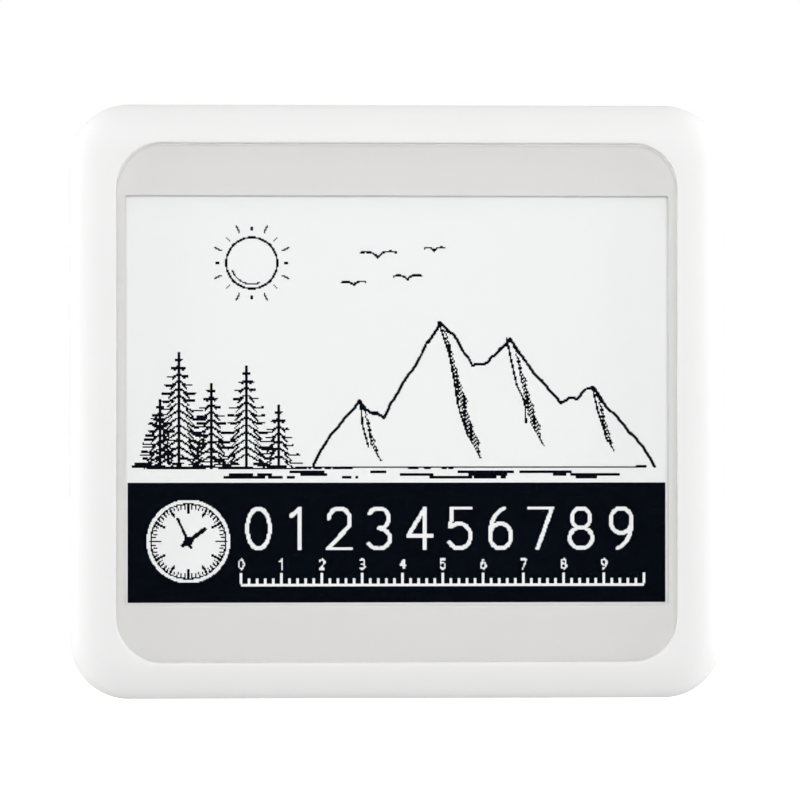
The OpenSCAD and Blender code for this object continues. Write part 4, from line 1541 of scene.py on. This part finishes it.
class Canvas:
    def __init__(self):
        self.dark = np.zeros((panel["rows"], panel["columns"]), bool)

    def dot(self, x, y, size, value):
        reach = size / 2
        for row in range(int(y - reach), int(y + reach) + 2):
            for column in range(int(x - reach), int(x + reach) + 2):
                away = math.hypot(column + 0.5 - x, row + 0.5 - y)
                inside = away <= max(reach, picture["leastReach"])
                if inside and 0 <= row < panel["rows"] and 0 <= column < panel["columns"]:
                    self.dark[row, column] = value

    def stroke(self, points, size, value=True):
        for (x0, y0), (x1, y1) in zip(points, points[1:]):
            steps = max(int(math.hypot(x1 - x0, y1 - y0) * picture["dotsPerPixel"]), 1)
            for step in range(steps + 1):
                share = step / steps
                self.dot(x0 + (x1 - x0) * share, y0 + (y1 - y0) * share, size, value)

    def arc(self, x, y, radiusX, radiusY, start, end, size, value=True):
        steps = picture["arcSteps"]
        self.stroke([
            (x + radiusX * math.cos(math.radians(start + (end - start) * i / steps)),
             y - radiusY * math.sin(math.radians(start + (end - start) * i / steps)))
            for i in range(steps + 1)
        ], size, value)

    def disc(self, x, y, radius, value):
        self.dot(x, y, radius * 2, value)


canvas = Canvas()


# A line between two points, roughened by moving the middle of each part up or down
def roughLine(start, end, rough, rng):
    points = [start, end]
    while abs(points[1][0] - points[0][0]) > picture["finestPart"]:
        finer = [points[0]]
        for a, b in zip(points, points[1:]):
            finer.append((middle((a[0], b[0])), middle((a[1], b[1])) + rng.uniform(-rough, rough)))
            finer.append(b)
        points = finer
        rough *= picture["calming"]
    return points


# Creases run down from a point of the crest, with hatching on their right
mountains = {
    "crest": [(138, 198), (172, 150), (190, 163), (232, 92), (256, 124), (284, 104), (322, 152), (346, 140),
              (392, 199)],
    "crestRough": 5,
    "crestLine": 2.2,
    "creases": [(1, 34), (3, 84), (5, 62), (7, 40)],
    "creaseLean": 0.22,
    "creaseRough": 4,
    "creaseShift": 2.5,
    "creaseLine": 1.6,
    "hatchStart": 6,
    "hatchEvery": 5,
    "hatchLeast": 4,
    "hatchGrowth": 0.34,
    "hatchSpread": (0.6, 1.1),
    "hatchGap": 1.5,
    "hatchSlope": (0.5, 0.9),
    "hatchEnd": 196,
    "hatchLine": 1.2,
}


def drawMountains(rng):
    s = mountains
    crest = s["crest"]
    ridge = []
    for a, b in zip(crest, crest[1:]):
        ridge += roughLine(a, b, s["crestRough"], rng)
    canvas.stroke(ridge, s["crestLine"])
    shift = s["creaseShift"]
    slopeX, slopeY = s["hatchSlope"]
    for peak, depth in s["creases"]:
        x, y = crest[peak]
        crease = roughLine((x, y), (x + depth * s["creaseLean"], y + depth), s["creaseRough"], rng)
        crease = [(cx + rng.uniform(-shift, shift), cy) for cx, cy in crease]
        canvas.stroke(crease, s["creaseLine"])
        for i in range(int(depth / s["hatchEvery"])):
            down = s["hatchStart"] + i * s["hatchEvery"]
            reach = s["hatchLeast"] + down * s["hatchGrowth"] * rng.uniform(*s["hatchSpread"])
            left = x + down * s["creaseLean"] + s["hatchGap"]
            foot = y + down + reach * slopeY
            if foot < s["hatchEnd"]:
                canvas.stroke([(left, y + down), (left + reach * slopeX, foot)], s["hatchLine"])


sunShape = {
    "line": 1.8,
    "shade": {"share": 0.82, "start": 200, "end": 290, "line": 1.2},
    "rays": 16,
    "rayStart": 5,
    "rayEnds": (7.5, 11),
    "rayLine": 1.4,
}


def drawSun(x, y, radius):
    s = sunShape
    shade = s["shade"]
    inner = radius * shade["share"]
    canvas.arc(x, y, radius, radius, 0, 360, s["line"])
    canvas.arc(x, y, inner, inner, shade["start"], shade["end"], shade["line"])
    near = radius + s["rayStart"]
    for i in range(s["rays"]):
        angle = math.radians(360 / s["rays"] * i)
        far = radius + s["rayEnds"][i % 2]
        canvas.stroke([(x + near * math.cos(angle), y + near * math.sin(angle)),
                       (x + far * math.cos(angle), y + far * math.sin(angle))], s["rayLine"])


# Each wing is an arc: its middle in shares of the size, then its two angles
birdShape = {"wings": [(-1, 0, 20, 120), (0.95, -0.05, 60, 160)], "flat": 0.7, "line": 1.6}


def drawBird(x, y, size):
    s = birdShape
    for across, down, start, end in s["wings"]:
        canvas.arc(x + size * across, y + size * down, size, size * s["flat"], start, end, s["line"])


# A branch falls from the trunk and turns up at its end; a twig hangs under it
pineShape = {
    "trunkLine": 1.6,
    "tierHigh": 6,
    "tipRoom": 4,
    "footRoom": 8,
    "topHalf": 2.5,
    "growth": 0.36,
    "spread": (0.85, 1.15),
    "branch": [(0.55, 0.36), (1, 0.34)],
    "branchLine": 1.6,
    "twig": [(0.3, 0.3), (0.62, 0.62)],
    "twigLine": 1.3,
}


def drawPine(x, base, tall, rng):
    s = pineShape
    canvas.stroke([(x, base - tall), (x, base)], s["trunkLine"])
    tiers = int(tall / s["tierHigh"])
    for tier in range(tiers):
        top = base - tall + s["tipRoom"] + tier * (tall - s["footRoom"]) / tiers
        half = s["topHalf"] + tier * tall * s["growth"] / tiers
        for side in (-1, 1):
            reach = half * rng.uniform(*s["spread"])
            branch = [(x + side * reach * out, min(top + reach * down, base)) for out, down in s["branch"]]
            twig = [(x + side * reach * out, min(top + reach * down, base)) for out, down in s["twig"]]
            canvas.stroke([(x, top), *branch], s["branchLine"])
            canvas.stroke(twig, s["twigLine"])


groundShape = {
    "horizon": 200,
    "ends": (14, 386),
    "fall": 1,
    "rough": 1.4,
    "line": 1.4,
    "dashes": 26,
    "dashStart": (20, 350),
    "dashLong": (10, 34),
    "dashDown": 3,
    "dashRows": 3,
    "dashRowHigh": 2,
    "dashLine": 1.0,
}


def drawGround(rng):
    s = groundShape
    y = s["horizon"]
    left, right = s["ends"]
    canvas.stroke(roughLine((left, y), (right, y - s["fall"]), s["rough"], rng), s["line"])
    for i in range(s["dashes"]):
        x = rng.uniform(*s["dashStart"])
        length = rng.uniform(*s["dashLong"])
        row = y + s["dashDown"] + i % s["dashRows"] * s["dashRowHigh"]
        canvas.stroke([(x, row), (x + length, row)], s["dashLine"])


# Plain figures, each as strokes in a box one unit wide and high, with y down
figureStrokes = {
    "0": [("arc", 0.5, 0.5, 0.42, 0.5, 0, 360)],
    "1": [("line", 0.2, 0.2, 0.52, 0.0), ("line", 0.52, 0.0, 0.52, 1.0)],
    "2": [("arc", 0.5, 0.3, 0.4, 0.3, 170, -35), ("line", 0.83, 0.47, 0.08, 1.0),
          ("line", 0.08, 1.0, 0.92, 1.0)],
    "3": [("arc", 0.46, 0.25, 0.38, 0.25, 150, -90), ("arc", 0.46, 0.75, 0.42, 0.25, 90, -150)],
    "4": [("line", 0.68, 0.0, 0.06, 0.68), ("line", 0.06, 0.68, 0.94, 0.68), ("line", 0.68, 0.0, 0.68, 1.0)],
    "5": [("line", 0.86, 0.0, 0.18, 0.0), ("line", 0.18, 0.0, 0.14, 0.46),
          ("arc", 0.46, 0.69, 0.42, 0.31, 130, -150)],
    "6": [("arc", 0.5, 0.69, 0.4, 0.31, 0, 360), ("arc", 0.74, 0.69, 0.64, 0.69, 180, 100)],
    "7": [("line", 0.08, 0.0, 0.92, 0.0), ("line", 0.92, 0.0, 0.38, 1.0)],
    "8": [("arc", 0.5, 0.25, 0.34, 0.25, 0, 360), ("arc", 0.5, 0.74, 0.42, 0.26, 0, 360)],
    "9": [("arc", 0.5, 0.31, 0.4, 0.31, 0, 360), ("arc", 0.26, 0.31, 0.64, 0.69, 0, -80)],
}


def drawFigure(figure, x, y, wide, tall, size):
    for kind, *v in figureStrokes[figure]:
        if kind == "line":
            ends = [(x + v[0] * wide, y + v[1] * tall), (x + v[2] * wide, y + v[3] * tall)]
            canvas.stroke(ends, size, False)
        else:
            canvas.arc(x + v[0] * wide, y + v[1] * tall, v[2] * wide, v[3] * tall, v[4], v[5], size, False)


# Dark band under the picture: a dial, a scale and two rows of figures, as pixels from its top left corner
band = {
    "rows": 89,
    "dial": (45, 43.5, 31),
    "ringInset": 3,
    "ringLine": 1.2,
    "ticks": 60,
    "tickEvery": 5,
    "tickInset": 4,
    "longTick": (10, 1.9),
    "shortTick": (6.5, 0.8),
    "hands": [((-4, 3), (12, -9), 3.0), ((2, 5), (-8, -17), 2.0)],
    "hub": 3.6,
    "figureRows": [(87, 19, 20, 30, 3.0), (82, 57, 4.5, 7, 1.2)],
    "figurePitch": 30,
    "scaleStart": (84, 75),
    "scalePitch": 6,
    "scaleTicks": 51,
    "scaleTall": (8, 4),
    "scaleLine": 1.3,
}


def drawDial(top):
    s = band
    x, down, radius = s["dial"]
    y = top + down
    canvas.disc(x, y, radius, False)
    ring = radius - s["ringInset"]
    canvas.arc(x, y, ring, ring, 0, 360, s["ringLine"])
    outer = radius - s["tickInset"]
    for i in range(s["ticks"]):
        angle = math.radians(360 / s["ticks"] * i)
        inset, line = s["longTick"] if i % s["tickEvery"] == 0 else s["shortTick"]
        inner = radius - inset
        canvas.stroke([(x + inner * math.sin(angle), y - inner * math.cos(angle)),
                       (x + outer * math.sin(angle), y - outer * math.cos(angle))], line)
    for (x0, y0), (x1, y1), line in s["hands"]:
        canvas.stroke([(x + x0, y + y0), (x + x1, y + y1)], line)
    canvas.disc(x, y, s["hub"], True)


def drawBand():
    s = band
    top = panel["rows"] - s["rows"]
    canvas.dark[top:, :] = True
    drawDial(top)
    for left, down, wide, tall, line in s["figureRows"]:
        for i in range(10):
            drawFigure(str(i), left + s["figurePitch"] * i, top + down, wide, tall, line)
    left, down = s["scaleStart"]
    foot = top + down
    longTall, shortTall = s["scaleTall"]
    for i in range(s["scaleTicks"]):
        x = left + s["scalePitch"] * i
        tall = longTall if i % s["tickEvery"] == 0 else shortTall
        canvas.stroke([(x, foot - tall), (x, foot)], s["scaleLine"], False)
    right = left + s["scalePitch"] * (s["scaleTicks"] - 1)
    canvas.stroke([(left, foot + 1), (right, foot + 1)], s["scaleLine"], False)


def drawPicture():
    rng = random.Random(picture["seed"])
    drawMountains(rng)
    drawSun(*picture["sun"])
    for bird in picture["birds"]:
        drawBird(*bird)
    for pine in picture["pines"]:
        drawPine(*pine, rng)
    drawGround(rng)
    drawBand()


def pictureRuns():
    runs = []
    for row in range(panel["rows"]):
        line = canvas.dark[row]
        column = 0
        while column < panel["columns"]:
            if not line[column]:
                column += 1
                continue
            start = column
            while column < panel["columns"] and line[column]:
                column += 1
            runs.append((row, start, column - start))
    return runs


def buildPicture():
    drawPicture()
    pitch = panel["pixelPitch"]
    out = inkSpan["out"][1] + picture["liftOut"]
    corners = ((-0.5, -0.5), (0.5, -0.5), (0.5, 0.5), (-0.5, 0.5))
    unit = meshFrom("pixelUnit", [(x, 0, z) for x, z in corners], [(0, 1, 2, 3)])
    points = []
    sizes = []
    for row, start, length in pictureRuns():
        points.append(place(activeLeft + (start + length / 2) * pitch, activeTop - (row + 0.5) * pitch, out))
        sizes.append((length * pitch * mm, 1, pitch * mm))
    mesh = repeatPiece("pictureInk", unit, points, inkBlack, sizes=sizes)
    finishObject("pictureInk", mesh, "front_unit", [inkBlack], sharpAngle=40)
    print("picture:", len(points), "runs")


buildPicture()

# Camera: far off, level with the tag and a little to its left
cameraSettings = {
    "sensorWide": 36,
    "distance": 0.9,
    "turn": -3.0,
    "pixelsPerSide": 800,
    "activeWide": 84.8,
    "activePixels": 538.2,
    "centreX": 0.47,
    "centreUp": 0.28,
}


def addCamera():
    s = cameraSettings
    data = bpy.data.cameras.new("camera")
    data.sensor_width = s["sensorWide"]
    data.sensor_fit = "HORIZONTAL"
    camera = bpy.data.objects.new("camera", data)
    scene.collection.objects.link(camera)
    target = place(s["centreX"], s["centreUp"], inkSpan["out"][1])
    turn = math.radians(s["turn"])
    camera.location = target + Vector((math.sin(turn), -math.cos(turn), 0)) * s["distance"]
    camera.rotation_euler = (math.pi / 2, 0, turn)
    across = s["pixelsPerSide"] * s["activeWide"] / s["activePixels"] * mm
    data.lens = data.sensor_width * s["distance"] / across
    scene.camera = camera


# Soft boxes aimed at the tag: a pair at grazing angles from the sides, and one from the front and above
lampSettings = {
    "leftBox": {"where": (-0.9, -0.03, 0.1), "size": (0.4, 0.9), "power": 7.6},
    "rightBox": {"where": (0.9, -0.03, 0.1), "size": (0.4, 0.9), "power": 9.0},
    "frontTopBox": {"where": (0.0, -0.94, 0.29), "size": (0.9, 0.36), "power": 5.15},
}


def addLamp(name, s):
    data = bpy.data.lights.new(name, "AREA")
    data.shape = "RECTANGLE"
    data.size, data.size_y = s["size"]
    data.energy = s["power"]
    lamp = bpy.data.objects.new(name, data)
    scene.collection.objects.link(lamp)
    lamp.location = s["where"]
    lamp.rotation_euler = (-Vector(s["where"])).to_track_quat("-Z", "Y").to_euler()


# Floor: white to the camera, with a faint shadow where the tag stands, and not seen in reflections
stageSettings = {"size": 3.0, "below": 0.02, "tone": 0.8, "roughness": 0.9, "cameraGlow": 0.8}


# 1 for rays that a mirror or a clear sheet has sent on
def mirroredRays(tree, path):
    mirrored = mathNode(tree, "MAXIMUM")
    wire(tree, (path, "Is Glossy Ray", mirrored, 0), (path, "Is Transmission Ray", mirrored, 1))
    return mirrored


def addStage():
    s = stageSettings
    floorMesh = bpy.data.meshes.new("floor")
    size = s["size"]
    down = caseSpan["up"][0] * mm - s["below"]
    corners = [(-size, -size, down), (size, -size, down), (size, size, down), (-size, size, down)]
    floorMesh.from_pydata(corners, [], [(0, 1, 2, 3)])
    floor = bpy.data.objects.new("floor", floorMesh)
    scene.collection.objects.link(floor)
    material = bpy.data.materials.new("stageWhite")
    material.use_nodes = True
    tree = material.node_tree
    shader = tree.nodes["Principled BSDF"]
    setInputs(shader, {
        "Base Color": (s["tone"], s["tone"], s["tone"], 1), "Roughness": s["roughness"],
        "Specular IOR Level": 0.0,
    })
    new = tree.nodes.new
    glow = new("ShaderNodeEmission")
    path = new("ShaderNodeLightPath")
    add = new("ShaderNodeAddShader")
    fade = mathNode(tree, "MULTIPLY")
    setInputs(fade, {1: s["cameraGlow"]})
    clear = new("ShaderNodeBsdfTransparent")
    pick = new("ShaderNodeMixShader")
    wire(tree,
         (path, "Is Camera Ray", fade, 0), (fade, 0, glow, "Strength"),
         (shader, 0, add, 0), (glow, 0, add, 1),
         (mirroredRays(tree, path), 0, pick, 0), (add, 0, pick, 1), (clear, 0, pick, 2),
         (pick, 0, tree.nodes["Material Output"], "Surface"))
    floorMesh.materials.append(material)


# World: soft fill for diffuse light; to shine it is dark in front of the tag and bright beside and behind it
worldSettings = {
    "fill": 0.248,
    "fillAbove": 0.58,
    "shineFront": 0.015,
    "shineRound": 1.0,
    "frontEdge": -0.92,
    "roundEdge": -0.4,
}


def addWorld():
    s = worldSettings
    world = bpy.data.worlds.new("studio")
    scene.world = world
    world.use_nodes = True
    tree = world.node_tree
    ground = tree.nodes["Background"]
    setInputs(ground, {"Color": (1, 1, 1, 1)})
    new = tree.nodes.new
    where = new("ShaderNodeTexCoord")
    apart = new("ShaderNodeSeparateXYZ")
    path = new("ShaderNodeLightPath")
    shine = new("ShaderNodeMapRange")
    setInputs(shine, {
        "From Min": s["frontEdge"], "From Max": s["roundEdge"],
        "To Min": s["shineFront"], "To Max": s["shineRound"],
    })
    fill = new("ShaderNodeMapRange")
    setInputs(fill, {"To Min": s["fill"], "To Max": s["fillAbove"]})
    level = new("ShaderNodeMix")
    seen = mathNode(tree, "MAXIMUM")
    wire(tree,
         (where, "Generated", apart, 0), (apart, "Z", fill, "Value"), (apart, "Y", shine, "Value"),
         (mirroredRays(tree, path), 0, level, 0), (fill, "Result", level, 2), (shine, "Result", level, 3),
         (level, 0, seen, 0), (path, "Is Camera Ray", seen, 1), (seen, 0, ground, "Strength"))


addCamera()
addStage()
addWorld()
for lampName, lampValues in lampSettings.items():
    addLamp(lampName, lampValues)
scene.view_settings.view_transform = "Standard"
print("stage ready")
